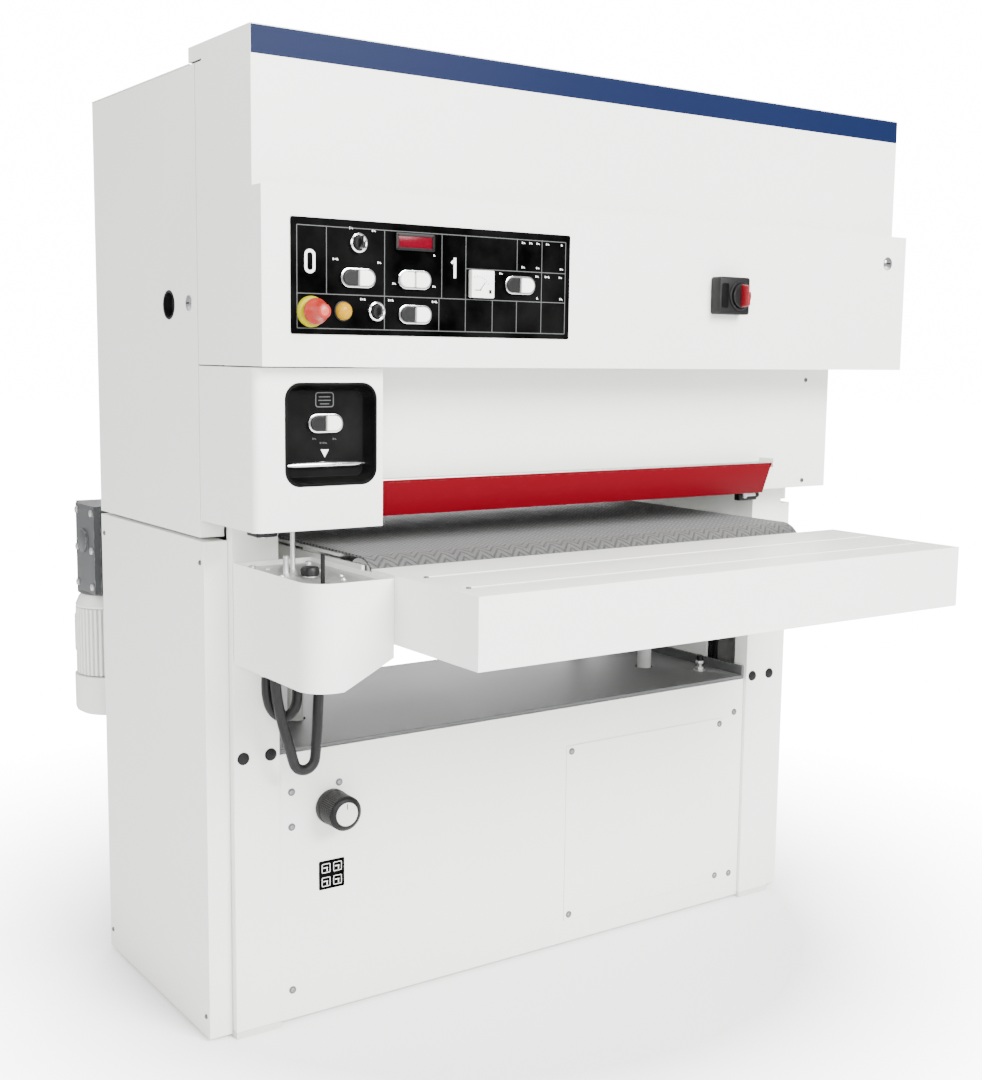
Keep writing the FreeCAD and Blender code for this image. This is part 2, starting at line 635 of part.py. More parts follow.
def pocket():
    outer = rounded_plate("tray_outer", ("-pocket_left + seat_gap", "-pocket_right - seat_gap"),
                          ("pocket_low + seat_gap", "pocket_high - seat_gap"),
                          "-corner_front - sheet", "-corner_front - sheet + pocket_depth", "pocket_round - seat_gap")
    hollow = rounded_plate("tray_hollow", ("-pocket_left + 12", "-pocket_right - 12"),
                           ("pocket_low + 12", "pocket_high - 12"),
                           "-corner_front - sheet - 1", POCKET_Y, "pocket_round - 12")
    holes = [button_hole(f"tray_hole{sign}", f"{POCKET_X} {sign} button_pitch / 2", POCKET_Y, POCKET_Z, 6)
             for sign in ("-", "+")]
    return cut("pocket_bezel", outer, hollow, *holes)


BUTTON_PAIRS = {
    "drum": (-525, 1296),
    "table": (-423, 1297),
    "extraction": (-422, 1243),
    "feed": (-218, 1296),
}
BUTTON_NAMES = {"table": ("raise", "lower")}
STOP_X, STOP_Z = -605, 1243
SELECTORS = {"mode_selector": (-524, 1349), "key_selector": (-492, 1246)}
PANEL_Y = "-cabinet_front - sheet"
MAINS_X, MAINS_Z = 268, 1294
LOCK_X, LOCK_Z = 700, 1373


def control_holes(prefix):
    holes = []
    for name, (x, z) in BUTTON_PAIRS.items():
        for sign in ("-", "+"):
            holes.append(button_hole(f"{prefix}_{name}{sign}", f"{x} {sign} button_pitch / 2", PANEL_Y, z, "sheet * 2 + 1"))
    for name, (x, z) in SELECTORS.items():
        holes.append(rod(f"{prefix}_{name}", "y", (x, f"{PANEL_Y} - 1", z), "6 + running_gap", "sheet * 2 + 2"))
    holes.append(rod(f"{prefix}_stop", "y", (STOP_X, f"{PANEL_Y} - 1", STOP_Z), "12 + seat_gap", "sheet * 2 + 2"))
    return holes


def cabinet_door():
    outer, hollow = pan("door_pan", ("-half_width", "door_right"), ("-cabinet_front", "-hood_front - seat_gap"),
                        ("hood_low", "cabinet_top"), "+y")
    lock = rod("door_lock_hole", "y", (LOCK_X, "-cabinet_front - 1", LOCK_Z), "lock_barrel + running_gap", "sheet + 2")
    mains = rod("mains_shaft_hole", "y", (MAINS_X, "-cabinet_front - 1", MAINS_Z), "6 + seat_gap", "sheet + 2")
    return cut("cabinet_door", outer, hollow, lock, mains, *control_holes("door"))


def control_panel():
    plate = block("panel_plate", ("-panel_left", "-panel_right"), (PANEL_Y, "-cabinet_front"),
                  ("panel_low", "panel_high"))
    return cut("control_panel", plate, *control_holes("panel"))


def instruments():
    ring = turned("stop_collar", "y", (STOP_X, f"{PANEL_Y} - 8", STOP_Z), [
        ("12 + seat_gap", 0), (21, 0), (23, 2), (23, 8), ("12 + seat_gap", 8)])
    housing = block("mains_housing", (218, 293), ("-cabinet_front - 25", "-cabinet_front"), (1260, 1328))
    bore = rod("mains_bore", "y", (MAINS_X, "-cabinet_front - 26", MAINS_Z), "6 + running_gap", 27)
    lamp = turned("pilot_lamp", "y", (-550, f"{PANEL_Y} - 14", 1245), [(0, 0), (8, 2), (13, 8), (13, 11), (15.5, 11), (15.5, 14), (0, 14)])
    meter = block("ammeter", (-318, -274), (f"{PANEL_Y} - 10", PANEL_Y), (1273, 1317))
    display = block("thickness_display", (-453, -389), (f"{PANEL_Y} - 4", PANEL_Y), (1346, 1365))
    return group("panel_instruments", ring, cut("mains_switch_housing", housing, bore), lamp, meter, display)


# controls that move

def emergency_stop():
    return turned("emergency_stop", "y", (STOP_X, f"{PANEL_Y} - 46", STOP_Z), [
        (0, 0), (10, 0), (12, 2), (13, 14), (20, 25), (20, 30), (12, 31), (12, 63), (0, 63)])


def selector(name, x, z):
    return turned(name, "y", (x, f"{PANEL_Y} - 22", z), [
        (0, 0), (8, 0), (8, 14), (15, 14), (15, 21.7), (6, 21.7), (6, 32), (0, 32)])


def mains_knob():
    grip = block("mains_grip", (MAINS_X - 7, MAINS_X + 7), ("-cabinet_front - 50", "-cabinet_front - 30"),
                 (MAINS_Z - 22, MAINS_Z + 22))
    disc = rod("mains_disc", "y", (MAINS_X, "-cabinet_front - 33", MAINS_Z), 22, 7.7)
    shaft = rod("mains_shaft", "y", (MAINS_X, "-cabinet_front - 30", MAINS_Z), 6, 40)
    return join("mains_knob", grip, disc, shaft)


def door_lock(name, axis, start):
    return turned(name, axis, start, [(0, 0), (13, 0), (13, 3), ("lock_barrel", 3), ("lock_barrel", 18), (0, 18)])


def speed_knob():
    return turned("feed_speed_knob", "y", ("knob_x", "-half_depth + panel_setback - 58.5", "knob_z"), [
        (0, 0), ("knob_radius - 8", 0), ("knob_radius - 5", 3), ("knob_radius", 10), ("knob_radius", 46),
        ("knob_radius - 6", 58.2), (5, 58.2), (5, 70), (0, 70)])


# sanding unit

def contact_drum():
    start = ("-drum_half", "drum_y", "drum_z")
    return turned("contact_drum", "x", start, [
        (0, -30), ("journal", -30), ("journal", 0), ("drum_radius", 0), ("drum_radius", "drum_half * 2"),
        ("journal", "drum_half * 2"), ("journal", "drum_half + pulley_left"),
        ("drum_pulley", "drum_half + pulley_left"), ("drum_pulley", "drum_half + pulley_right"),
        (0, "drum_half + pulley_right")])


def tension_roller():
    reach = "abrasive_half"
    return turned("tension_roller", "x", (f"-{reach}", "drum_y", "tension_z"), [
        (0, -20), ("small_journal", -20), ("small_journal", 0), ("tension_radius", 0),
        ("tension_radius", f"{reach} * 2"), ("small_journal", f"{reach} * 2"),
        ("small_journal", f"{reach} * 2 + 20"), (0, f"{reach} * 2 + 20")])


def tension_frame():
    arms = []
    for sign in ("-", ""):
        middle = f"{sign}(abrasive_half + 14)"
        arm = block(f"tension_arm{sign}", (f"{middle} - 6", f"{middle} + 6"), ("drum_y - 22", "drum_y + 22"),
                    ("tension_z - 95", "tension_z + 30"))
        arms.append(arm)
    bar = block("tension_bar", ("-abrasive_half - 8", "abrasive_half + 8"), ("drum_y - 22", "drum_y + 22"),
                ("tension_z - 95", "tension_z - 65"))
    post = rod("guide_post", "z", (0, "drum_y", "tension_z - 240"), "post_radius", 150)
    bores = [rod(f"tension_bore{sign}", "x", (f"{sign}(abrasive_half + 14) - 7", "drum_y", "tension_z"),
                 "small_journal + running_gap", 14) for sign in ("-", "")]
    return cut("tension_frame", join("tension_weldment", bar, post, *arms), *bores)


def head_beam():
    # cantilever beam inside the abrasive belt, carrying the drum's bearings
    right = "column_inner"
    beam = block("beam_tube", ("-drum_half - 30", right), ("drum_y - 45", "drum_y + 45"), (1150, 1400))
    hangers = [
        block("left_hanger", ("-drum_half - 28", "-drum_half - 6"), ("drum_y - 45", "drum_y + 45"), ("drum_z - 45", 1160)),
        block("right_hanger", ("drum_half + 6", "drum_half + 28"), ("drum_y - 45", "drum_y + 45"), ("drum_z - 45", 1160)),
    ]
    foot = block("beam_foot", ("column_inner - 20", right), ("drum_y - 140", "drum_y + 140"), (1130, 1420))
    bores = [
        rod("left_drum_bore", "x", ("-drum_half - 29", "drum_y", "drum_z"), "journal + running_gap", 24),
        rod("right_drum_bore", "x", ("drum_half + 5", "drum_y", "drum_z"), "journal + running_gap", 24),
        rod("post_bore", "z", (0, "drum_y", 1260), "post_radius + running_gap", 150),
    ]
    return cut("head_beam", join("head_beam_weldment", beam, foot, *hangers), *bores)


def abrasive_belt():
    drum = Vector(0, size("drum_y"), size("drum_z"))
    roller = Vector(0, size("drum_y"), size("tension_z"))
    gap = size("seat_gap")
    half = size("abrasive_half")
    return shaped("abrasive_belt", belt_loop(drum, size("drum_radius") + gap, roller, size("tension_radius") + gap,
                                             size("abrasive_thick"), -half, half))


def pressure_roller(name):
    half = "(column_inner - 42)"
    return turned(f"{name}_roller", "x", (f"-{half}", f"{name}_y", "pressure_z"), [
        (0, -35), ("pressure_journal", -35), ("pressure_journal", 0), ("pressure_radius", 0),
        ("pressure_radius", f"{half} * 2"), ("pressure_journal", f"{half} * 2"),
        ("pressure_journal", f"{half} * 2 + 35"), (0, f"{half} * 2 + 35")])


def safety_bar():
    pin = rod("bar_pin", "x", ("-corner_right + seat_gap + 0.3", -360, 971), 4, "corner_right + 495")
    plate = folded("bar_plate", "YZ_Plane", [(-366, 969), (-361, 970), (-347, 911), (-352, 910)],
                   "-corner_right + 4.3", 490)
    return join("safety_bar", pin, plate)


def safety_switch():
    # beside the feed belt, clear of the table at its highest
    case = block("switch_case", ("rail_outer + 2.5", 551), (-268, -252), ("switch_low", "switch_low + 21"))
    bracket = block("switch_bracket", (512, 540), (-266, -254), ("switch_low + 21", "upper_panel_low"))
    return join("safety_switch", case, bracket)


# main drive

def main_motor():
    barrel = rod("motor_barrel", "x", (-130, 0, "motor_z"), "motor_radius", 360)
    feet = block("motor_feet", (-110, 210), (-105, 105), ("frame_plate + beam_size + 8", "frame_plate + beam_size + 24"))
    terminal = block("terminal_box", (20, 130), (-50, 50), ("motor_z + 60", "motor_z + motor_radius + 45"))
    bore = rod("motor_bore", "x", (160, 0, "motor_z"), "motor_shaft + running_gap", 71)
    return cut("main_motor", join("motor_casting", barrel, feet, terminal), bore)


def motor_pulley():
    return turned("motor_pulley", "x", (165, 0, "motor_z"), [
        (0, 0), ("motor_shaft", 0), ("motor_shaft", "pulley_left - 165"), ("motor_pulley", "pulley_left - 165"),
        ("motor_pulley", "pulley_right - 165"), (0, "pulley_right - 165")])


def drive_belts():
    drum = Vector(0, size("drum_y"), size("drum_z"))
    motor = Vector(0, 0, size("motor_z"))
    gap = size("seat_gap")
    wide = size("vee_wide")
    middle = (size("pulley_left") + size("pulley_right")) / 2
    loops = []
    for place_x in (-18, 0, 18):
        left = middle + place_x - wide / 2
        loops.append(belt_loop(motor, size("motor_pulley") + gap, drum, size("drum_pulley") + gap,
                               size("vee_thick"), left, left + wide))
    return shaped("drive_belts", Part.makeCompound(loops))


# feed table

ROLLER_Z = "belt_top - belt_thick - roller_radius"
FRAME_LOW = "belt_top - belt_thick * 2 - roller_radius * 2 - table_beam_gap - table_beam"
BELT_FRONT = "front_roller_y - roller_radius - belt_thick"


def table_frame():
    pieces = []
    for sign in ("-", ""):
        x = ("-rail_outer", "-rail_inner") if sign else ("rail_inner", "rail_outer")
        pieces.append(block(f"rail{sign}", x, ("front_roller_y - 20", "drive_roller_y + 30"),
                            (f"{ROLLER_Z} - 34", "rail_top")))
        pieces.append(block(f"rail_nose{sign}", x, (f"{BELT_FRONT} - extension_gap + 0.3", "front_roller_y + 1"),
                            ("extension_low + 20", "extension_top - 20")))
        pieces.append(block(f"rail_drop{sign}", x, (-100, 250), (FRAME_LOW, f"{ROLLER_Z} - 30")))
    for name in ("front", "rear"):
        pieces.append(block(f"{name}_table_beam", ("-rail_outer", "rail_outer"),
                            (f"lift_{name}_y - 30", f"lift_{name}_y + 30"), (FRAME_LOW, f"{FRAME_LOW} + table_beam")))
        for sign in ("-", ""):
            pieces.append(rod(f"{name}_lift_screw{sign}", "z", (f"{sign}lift_x", f"lift_{name}_y", "lift_low"),
                              "lift_radius", f"{FRAME_LOW} + 10 - lift_low"))
    pieces.append(block("bed_plate", ("-rail_inner", "rail_inner"), ("front_roller_y + roller_radius + 21",
                        "drive_roller_y - roller_radius - 21"),
                        ("belt_top - belt_thick - seat_gap - 5", "belt_top - belt_thick - seat_gap")))
    for n, y in enumerate((-260, -40, 180)):
        pieces.append(block(f"bed_rib_{n}", ("-rail_inner", "rail_inner"), (y, y + 50),
                            (775, "belt_top - belt_thick - 5")))
    bores = [
        rod(f"{name}_bore{sign}", "x", (f"{sign}(rail_inner + 2.85) - 5", y, ROLLER_Z), "small_journal + running_gap", 10)
        for sign in ("-", "") for name, y in (("idler", "front_roller_y"), ("drive", "drive_roller_y"))
    ]
    return cut("table_frame", join("table_weldment", *pieces), *bores)


def feed_belt():
    height = size("belt_top") - size("belt_thick") - size("roller_radius")
    front = Vector(0, size("front_roller_y"), height)
    back = Vector(0, size("drive_roller_y"), height)
    radius = size("roller_radius")
    half = size("belt_half")
    return shaped("feed_belt", belt_loop(front, radius, back, radius, size("belt_thick"), -half, half))


def feed_roller(name, y, left, right):
    return turned(name, "x", ("-belt_half", y, ROLLER_Z), [
        (0, f"-({left})"), ("small_journal", f"-({left})"), ("small_journal", 0), ("roller_radius - seat_gap", 0),
        ("roller_radius - seat_gap", "belt_half * 2"), ("small_journal", "belt_half * 2"),
        ("small_journal", f"belt_half * 2 + {right}"), (0, f"belt_half * 2 + {right}")])


def infeed_extension():
    skin, hollow = pan("extension_pan", ("-rail_outer", "extension_right"),
                       ("-extension_front", f"{BELT_FRONT} - extension_gap"), ("extension_low", "extension_top"),
                       "-z", "extension_sheet")
    strips = [
        block(f"sunk_strip_{n}", ("-rail_outer + 25", "extension_right - 30"), (y, f"{y} + strip_wide"),
              ("extension_top - strip_depth", "extension_top + 1"))
        for n, y in enumerate((-580, -697))
    ]
    return cut("infeed_extension", skin, hollow, *strips)


def table_cover():
    right = "-rail_outer - seat_gap"
    corners = [("-column_outer", "table_cover_low"), ("-chamfer_x", "table_cover_low"), (right, "chamfer_z"),
               (right, "table_cover_top"), ("-column_outer", "table_cover_top")]
    inner_right = f"{right} - sheet"
    inner = [("-column_outer + sheet", "table_cover_low + sheet"), ("-chamfer_x", "table_cover_low + sheet"),
             (inner_right, "chamfer_z + sheet"), (inner_right, "table_cover_top + 1"),
             ("-column_outer + sheet", "table_cover_top + 1")]
    skin = folded("table_cover_skin", "XZ_Plane", corners, "-table_cover_front", "-half_depth - table_cover_gap")
    front_left = edges_along(2, (-size("column_outer"), -size("table_cover_front")))
    rounded(skin, "table_cover_round", front_left)
    hollow = folded("table_cover_hollow", "XZ_Plane", inner, "-table_cover_front + sheet", "-half_depth - table_cover_gap - sheet")
    inner_edge = edges_along(2, (-size("column_outer") + size("sheet"), -size("table_cover_front") + size("sheet")))
    rounded(hollow, "table_cover_round - sheet", inner_edge)
    return join("table_corner_cover", cut("table_cover_shell", skin, hollow), *hose_glands())


def gauge_plate():
    left, right = "-column_outer + sheet + seat_gap", "-rail_outer - sheet - seat_gap * 2"
    front, back = "-table_cover_front + sheet + seat_gap", "-half_depth - table_cover_gap - sheet - seat_gap"
    plate = folded("gauge_lid", "XY_Plane", [(left, front), (right, front), (right, back), (left, back)],
                   "gauge_z", "gauge_z + 3")
    inset = size("sheet") + size("seat_gap")
    rounded(plate, "table_cover_round - sheet - seat_gap",
            edges_along(2, (-size("column_outer") + inset, -size("table_cover_front") + inset)))
    pin = rod("gauge_pin", "z", (-560, -309, "gauge_z + 2"), 3.5, 120)
    knob = rod("gauge_roller", "z", (-575, -399, "gauge_z + 2"), 12, 16)
    stop = rod("gauge_stop", "z", (-606, -500, "gauge_z + 2"), 3, 50)
    heads = [rod(f"lid_bolt_{n}", "z", (x, y, "gauge_z + 2"), 6, 6)
             for n, (x, y) in enumerate(((-590, -512), (-515, -512), (-620, -280), (-515, -280)))]
    return join("gauge_plate", plate, pin, knob, stop, *heads)


def gearbox():
    case = block("gear_case", ("-gearbox_left", "-feed_motor_x + 45"), ("drive_roller_y - 55", "gearbox_y + 45"),
                 ("gearbox_low", "gearbox_top"))
    hub = rod("gear_hub", "x", ("-feed_motor_x + 40", "drive_roller_y", ROLLER_Z), 38, "feed_motor_x - 40 - rail_outer - seat_gap")
    plate = block("torque_plate", ("-gearbox_left - 13", "-gearbox_left"), ("drive_roller_y - 60", "gearbox_y + 10"),
                  ("gearbox_low", "gearbox_top"))
    flange = rod("motor_flange", "z", ("-feed_motor_x", "gearbox_y", "gearbox_low - 8"), 62, 9)
    bore = rod("gear_bore", "x", ("-feed_motor_x - 20", "drive_roller_y", ROLLER_Z), "small_journal + running_gap", 160)
    return cut("feed_gearbox", join("gear_casting", case, hub, plate, flange), bore)


def feed_motor():
    return turned("feed_motor", "z", ("-feed_motor_x", "gearbox_y", "feed_motor_low"), [
        (0, 0), ("feed_motor_radius - 6", 0), ("feed_motor_radius + 1", 8),
        ("feed_motor_radius + 1", "cowl_top - feed_motor_low"), ("feed_motor_radius - 3", "cowl_top - feed_motor_low"),
        ("feed_motor_radius - 3", "feed_motor_top - feed_motor_low"),
        (58, "gearbox_low - 8 - feed_motor_low"), (0, "gearbox_low - 8 - feed_motor_low")])


# hoses

def hose(name, route, y):
    # straight runs joined by tangent arcs, swept with a round section, in the plane at y
    radius = HOSE_RADIUS
    spots = [Vector(x, y, z) for x, z in route]
    edges = []
    start = spots[0]
    for before, corner, after in zip(spots, spots[1:], spots[2:]):
        towards, away = corner - before, after - corner
        turn = towards.getAngle(away)
        bend = 0.45 * min(towards.Length, away.Length) / math.tan(turn / 2)
        print(f"{name}: bend radius {bend:.1f} mm")
        inset = bend * math.tan(turn / 2)
        leave = corner - Vector(towards).normalize() * inset
        arrive = corner + Vector(away).normalize() * inset
        inwards = (Vector(away).normalize() - Vector(towards).normalize()).normalize()
        middle = corner + inwards * (bend / math.cos(turn / 2) - bend)
        edges.append(Part.LineSegment(start, leave).toShape())
        edges.append(Part.Arc(leave, middle, arrive).toShape())
        start = arrive
    edges.append(Part.LineSegment(start, spots[-1]).toShape())
    path = Part.Wire(edges)
    ring = Part.Wire(Part.makeCircle(radius, spots[0], spots[1] - spots[0]))
    tube = path.makePipeShell([ring], True, False)
    length = sum(edge.Length for edge in edges)
    share = tube.Volume / (math.pi * radius ** 2 * length)
    print(f"{name}: length {length:.1f} mm, volume over section times length {share:.5f}")
    return shaped(name, tube)


HOSE_RADIUS = 9
GLAND_RADIUS = 10.3
SMALL_HOSE_Y = -(size("half_depth") + 47)
LARGE_HOSE_Y = -(size("half_depth") + 68)
SMALL_HOSE = [(-603, 648), (-604, 630), (-602, 609), (-596, 590), (-584, 577), (-570, 573), (-556.5, 578.5),
              (-548, 592), (-546, 617), (-547.5, 643), (-549, 664)]
LARGE_HOSE = [(-598, 648), (-597, 632), (-593.5, 604), (-585, 568), (-573, 528), (-566.8, 505.5), (-562, 490.5),
              (-550.5, 482.5), (-536.5, 483.5), (-526, 493), (-523.5, 508.5), (-521, 538), (-519, 583), (-516, 639),
              (-513.5, 684)]


def hose_glands():
    # one under the table's corner cover at each end of each hose
    glands = []
    for name, y, route in (("small", SMALL_HOSE_Y, SMALL_HOSE), ("large", LARGE_HOSE_Y, LARGE_HOSE)):
        for end, (x, z) in (("first", route[0]), ("last", route[-1])):
            glands.append(rod(f"{name}_{end}_gland", "z", (x, y, z), GLAND_RADIUS, 26 if end == "last" else 20))
    return glands


# small fasteners

def screw(name, axis, x, y, z, radius=4.5, length=2.5):
    return rod(name, axis, (x, y, z), radius, length)


def fasteners():
    front = "-half_depth + panel_setback"
    heads = []
    for n, (x, z) in enumerate(((-531, 422), (-531, 359), (-437, 425), (531, 422), (531, 60), (-531, 60))):
        heads.append(screw(f"panel_screw_{n}", "y", x, f"{front} - 2.5", z))
    for n, (x, z) in enumerate(((86, 64), (487, 64), (86, 402), (487, 402))):
        heads.append(screw(f"access_screw_{n}", "y", x, f"{front} - sheet - 2.5", z))
    for n, (y, z) in enumerate(((-220, 834), (232, 834), (-220, 42), (232, 42))):
        heads.append(screw(f"left_screw_{n}", "x", "-half_width - 2.5", y, z))
        heads.append(screw(f"right_screw_{n}", "x", "half_width", y, z))
    for n, z in enumerate((928, 1137)):
        heads.append(screw(f"upper_screw_{n}", "y", 617, "-upper_panel_front - 2.5", z))
    for n, x in enumerate((-625, -574, 574, 625)):
        heads.append(rod(f"column_cap_{n}", "y", (x, "-half_depth - 4", 498), 11, 4))
    heads.append(rod("stop_stud", "z", (508, -155, "shelf_top"), 6, 34))
    heads.append(block("name_plate", (-478, -427), (f"{front} - 1", front), (232, 285)))
    return group("screws_and_caps", *heads)


# the assembly

for label, piece in (
    ("base_frame", base_frame()),
    ("left_column", column("left")),
    ("right_column", column("right")),
    ("shelf", shelf()),
    ("lower_front_panel", lower_front_panel()),
    ("access_cover", access_cover()),
    ("rear_covers", rear_covers()),
    ("left_lower_cover", lower_side_cover("left")),
    ("right_lower_cover", lower_side_cover("right")),
    ("right_upper_cover", upper_side_cover()),
    ("screws_and_caps", fasteners()),
    ("hood_shell", hood_shell()),
    ("electrical_plate", electrical_plate()),
    ("upper_front_panel", upper_front_panel()),
    ("upper_left_cover", corner_cover()),
    ("pocket_bezel", pocket()),
    ("head_beam", head_beam()),
    ("abrasive_belt", abrasive_belt()),
    ("safety_switch", safety_switch()),
    ("main_motor", main_motor()),
    ("drive_belts", drive_belts()),
    ("left_upper_door", left_door()),
    ("left_door_lock", door_lock("left_lock", "x", ("-half_width - 3.3", "side_lock_y", "side_lock_z"))),
    ("cabinet_door", cabinet_door()),
    ("cabinet_door_lock", door_lock("right_lock", "y", (LOCK_X, "-cabinet_front - 3.3", LOCK_Z))),
    ("control_panel", control_panel()),
    ("panel_instruments", instruments()),
    ("emergency_stop", emergency_stop()),
    ("mains_knob", mains_knob()),
    ("feed_speed_knob", speed_knob()),
    ("contact_drum", contact_drum()),
    ("tension_roller", tension_roller()),
    ("tension_frame", tension_frame()),
    ("motor_pulley", motor_pulley()),
    ("infeed_roller", pressure_roller("infeed")),
    ("outfeed_roller", pressure_roller("outfeed")),
    ("safety_bar", safety_bar()),
    ("table_frame", table_frame()),
    ("feed_belt", feed_belt()),
    ("drive_roller", feed_roller("drive_roller", "drive_roller_y", "feed_motor_x + 18 - belt_half", 7)),
    ("front_roller", feed_roller("front_roller", "front_roller_y", 7, 7)),
    ("infeed_extension", infeed_extension()),
    ("table_corner_cover", table_cover()),
    ("gauge_plate", gauge_plate()),
    ("feed_gearbox", gearbox()),
    ("feed_motor", feed_motor()),
    ("small_hose", hose("small_hose", SMALL_HOSE, SMALL_HOSE_Y)),
    ("large_hose", hose("large_hose", LARGE_HOSE, LARGE_HOSE_Y)),
):
    keep(label, piece)

for label, (centre_x, centre_z) in SELECTORS.items():
    keep(label, selector(label, centre_x, centre_z))
for label, (centre_x, centre_z) in BUTTON_PAIRS.items():
    for sign, action in zip("-+", BUTTON_NAMES.get(label, ("stop", "start"))):
        name = f"{label}_{action}_button"
        keep(name, button(name, centre_x, sign, PANEL_Y, centre_z))
for sign, action in (("-", "raise"), ("+", "lower")):
    name = f"pocket_{action}_button"
    keep(name, button(name, POCKET_X, sign, POCKET_Y, POCKET_Z))

doc.recompute()
for thing in doc.Objects:
    if {"Invalid", "Error"} & set(thing.State):
        raise RuntimeError(f"{thing.Name} did not recompute: {thing.State}")
for thing in nodes:
    if thing.Shape.isNull() or not thing.Shape.isValid() or not thing.Shape.Solids:
        raise RuntimeError(f"{thing.Label} has no valid solid")

os.makedirs("parts", exist_ok=True)
for thing in nodes:
    thing.Shape.exportStep(f"parts/{thing.Label}.step")
print(f"{len(nodes)} sub-parts written")
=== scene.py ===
import json
import math
import bmesh
import bpy
from mathutils import Matrix, Vector

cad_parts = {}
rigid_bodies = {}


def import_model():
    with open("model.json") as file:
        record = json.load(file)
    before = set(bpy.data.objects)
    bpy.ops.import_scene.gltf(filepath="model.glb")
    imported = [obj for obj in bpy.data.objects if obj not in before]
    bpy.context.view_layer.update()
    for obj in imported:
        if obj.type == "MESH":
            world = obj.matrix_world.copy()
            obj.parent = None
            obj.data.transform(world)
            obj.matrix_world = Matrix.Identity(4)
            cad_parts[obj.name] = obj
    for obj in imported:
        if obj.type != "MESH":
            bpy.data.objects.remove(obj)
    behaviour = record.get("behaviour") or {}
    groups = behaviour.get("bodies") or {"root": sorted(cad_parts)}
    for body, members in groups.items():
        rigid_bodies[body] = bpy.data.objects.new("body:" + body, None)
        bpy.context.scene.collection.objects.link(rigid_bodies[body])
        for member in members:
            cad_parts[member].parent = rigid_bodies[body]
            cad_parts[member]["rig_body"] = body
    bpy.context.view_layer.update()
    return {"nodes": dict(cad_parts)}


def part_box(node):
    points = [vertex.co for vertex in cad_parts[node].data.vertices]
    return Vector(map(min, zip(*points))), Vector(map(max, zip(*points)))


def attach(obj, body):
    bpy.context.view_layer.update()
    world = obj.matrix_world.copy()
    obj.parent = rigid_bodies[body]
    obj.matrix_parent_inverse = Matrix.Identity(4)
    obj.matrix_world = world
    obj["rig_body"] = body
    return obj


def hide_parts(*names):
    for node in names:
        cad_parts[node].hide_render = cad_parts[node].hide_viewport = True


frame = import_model()
nodes = frame["nodes"]
print("frame loaded")


cameraSetup = {
    "place": (-1.627, -2.415, 1.183),
    "yaw": 0.6081,      # radians from +Y towards +X
    "pitch": -0.1296,
    "roll": 0.0124,
    "lens": 47.63,
}


def makeCamera():
    data = bpy.data.cameras.new("camera")
    data.lens = cameraSetup["lens"]
    data.sensor_width = 36
    data.clip_end = 100
    camera = bpy.data.objects.new("camera", data)
    bpy.context.scene.collection.objects.link(camera)
    yaw, pitch, roll = (cameraSetup[key] for key in ("yaw", "pitch", "roll"))
    ahead = Vector((math.sin(yaw) * math.cos(pitch), math.cos(yaw) * math.cos(pitch), math.sin(pitch)))
    right = Vector((math.cos(yaw), -math.sin(yaw), 0))
    up = right.cross(ahead)
    level = Matrix((right * math.cos(roll) + up * math.sin(roll),
                    up * math.cos(roll) - right * math.sin(roll), -ahead)).transposed()
    camera.matrix_world = Matrix.Translation(cameraSetup["place"]) @ level.to_4x4()
    bpy.context.scene.camera = camera


lightSetup = {
    "key": {"place": (0.8, -4.8, 3.6), "target": (0.0, -0.3, 0.9), "size": 3.0, "power": 900},
    "front": {"place": (-2.6, -4.2, 2.2), "target": (0.0, 0.0, 0.9), "size": 2.6, "power": 210},
    "side": {"place": (-4.6, 0.8, 2.8), "target": (-0.5, 0.0, 0.9), "size": 2.4, "power": 150},
    "top": {"place": (0.0, 0.4, 5.0), "target": (0.0, 0.0, 0.8), "size": 3.6, "power": 240},
    "back": {"place": (2.6, 4.2, 3.0), "target": (0.0, 0.0, 0.8), "size": 3.0, "power": 260},
}
studio = {"ambient": 0.6, "backdrop": 16.0, "floorTone": 0.95, "floorFade": (0.7, 1.9)}


def makeLights():
    for name, setup in lightSetup.items():
        data = bpy.data.lights.new(name, "AREA")
        data.shape = "DISK"
        data.size = setup["size"]
        data.energy = setup["power"]
        lamp = bpy.data.objects.new(name, data)
        lamp.location = setup["place"]
        aim = Vector(setup["target"]) - Vector(setup["place"])
        lamp.rotation_euler = aim.to_track_quat("-Z", "Y").to_euler()
        bpy.context.scene.collection.objects.link(lamp)
    world = bpy.data.worlds.new("studio")
    world.use_nodes = True
    tree = world.node_tree
    seen = tree.nodes.new("ShaderNodeLightPath")
    strength = tree.nodes.new("ShaderNodeMapRange")
    strength.inputs["To Min"].default_value = studio["ambient"]
    strength.inputs["To Max"].default_value = studio["backdrop"]
    tree.links.new(seen.outputs["Is Camera Ray"], strength.inputs["Value"])
    backdrop = tree.nodes["Background"]
    backdrop.inputs["Color"].default_value = (1.0, 1.0, 1.0, 1)
    tree.links.new(strength.outputs[0], backdrop.inputs["Strength"])
    bpy.context.scene.world = world


def nodeGroup(name, inputs, outputs):
    group = bpy.data.node_groups.new(name, "ShaderNodeTree")
    for label, kind, value in inputs:
        socket = group.interface.new_socket(label, in_out="INPUT", socket_type=kind)
        if value is not None:
            socket.default_value = value
    for label in outputs:
        group.interface.new_socket(label, in_out="OUTPUT", socket_type="NodeSocketFloat")
    return group, group.nodes.new("NodeGroupInput"), group.nodes.new("NodeGroupOutput")


def setSocket(tree, socket, value):
    if isinstance(value, bpy.types.NodeSocket):
        tree.links.new(value, socket)
    else:
        socket.default_value = value


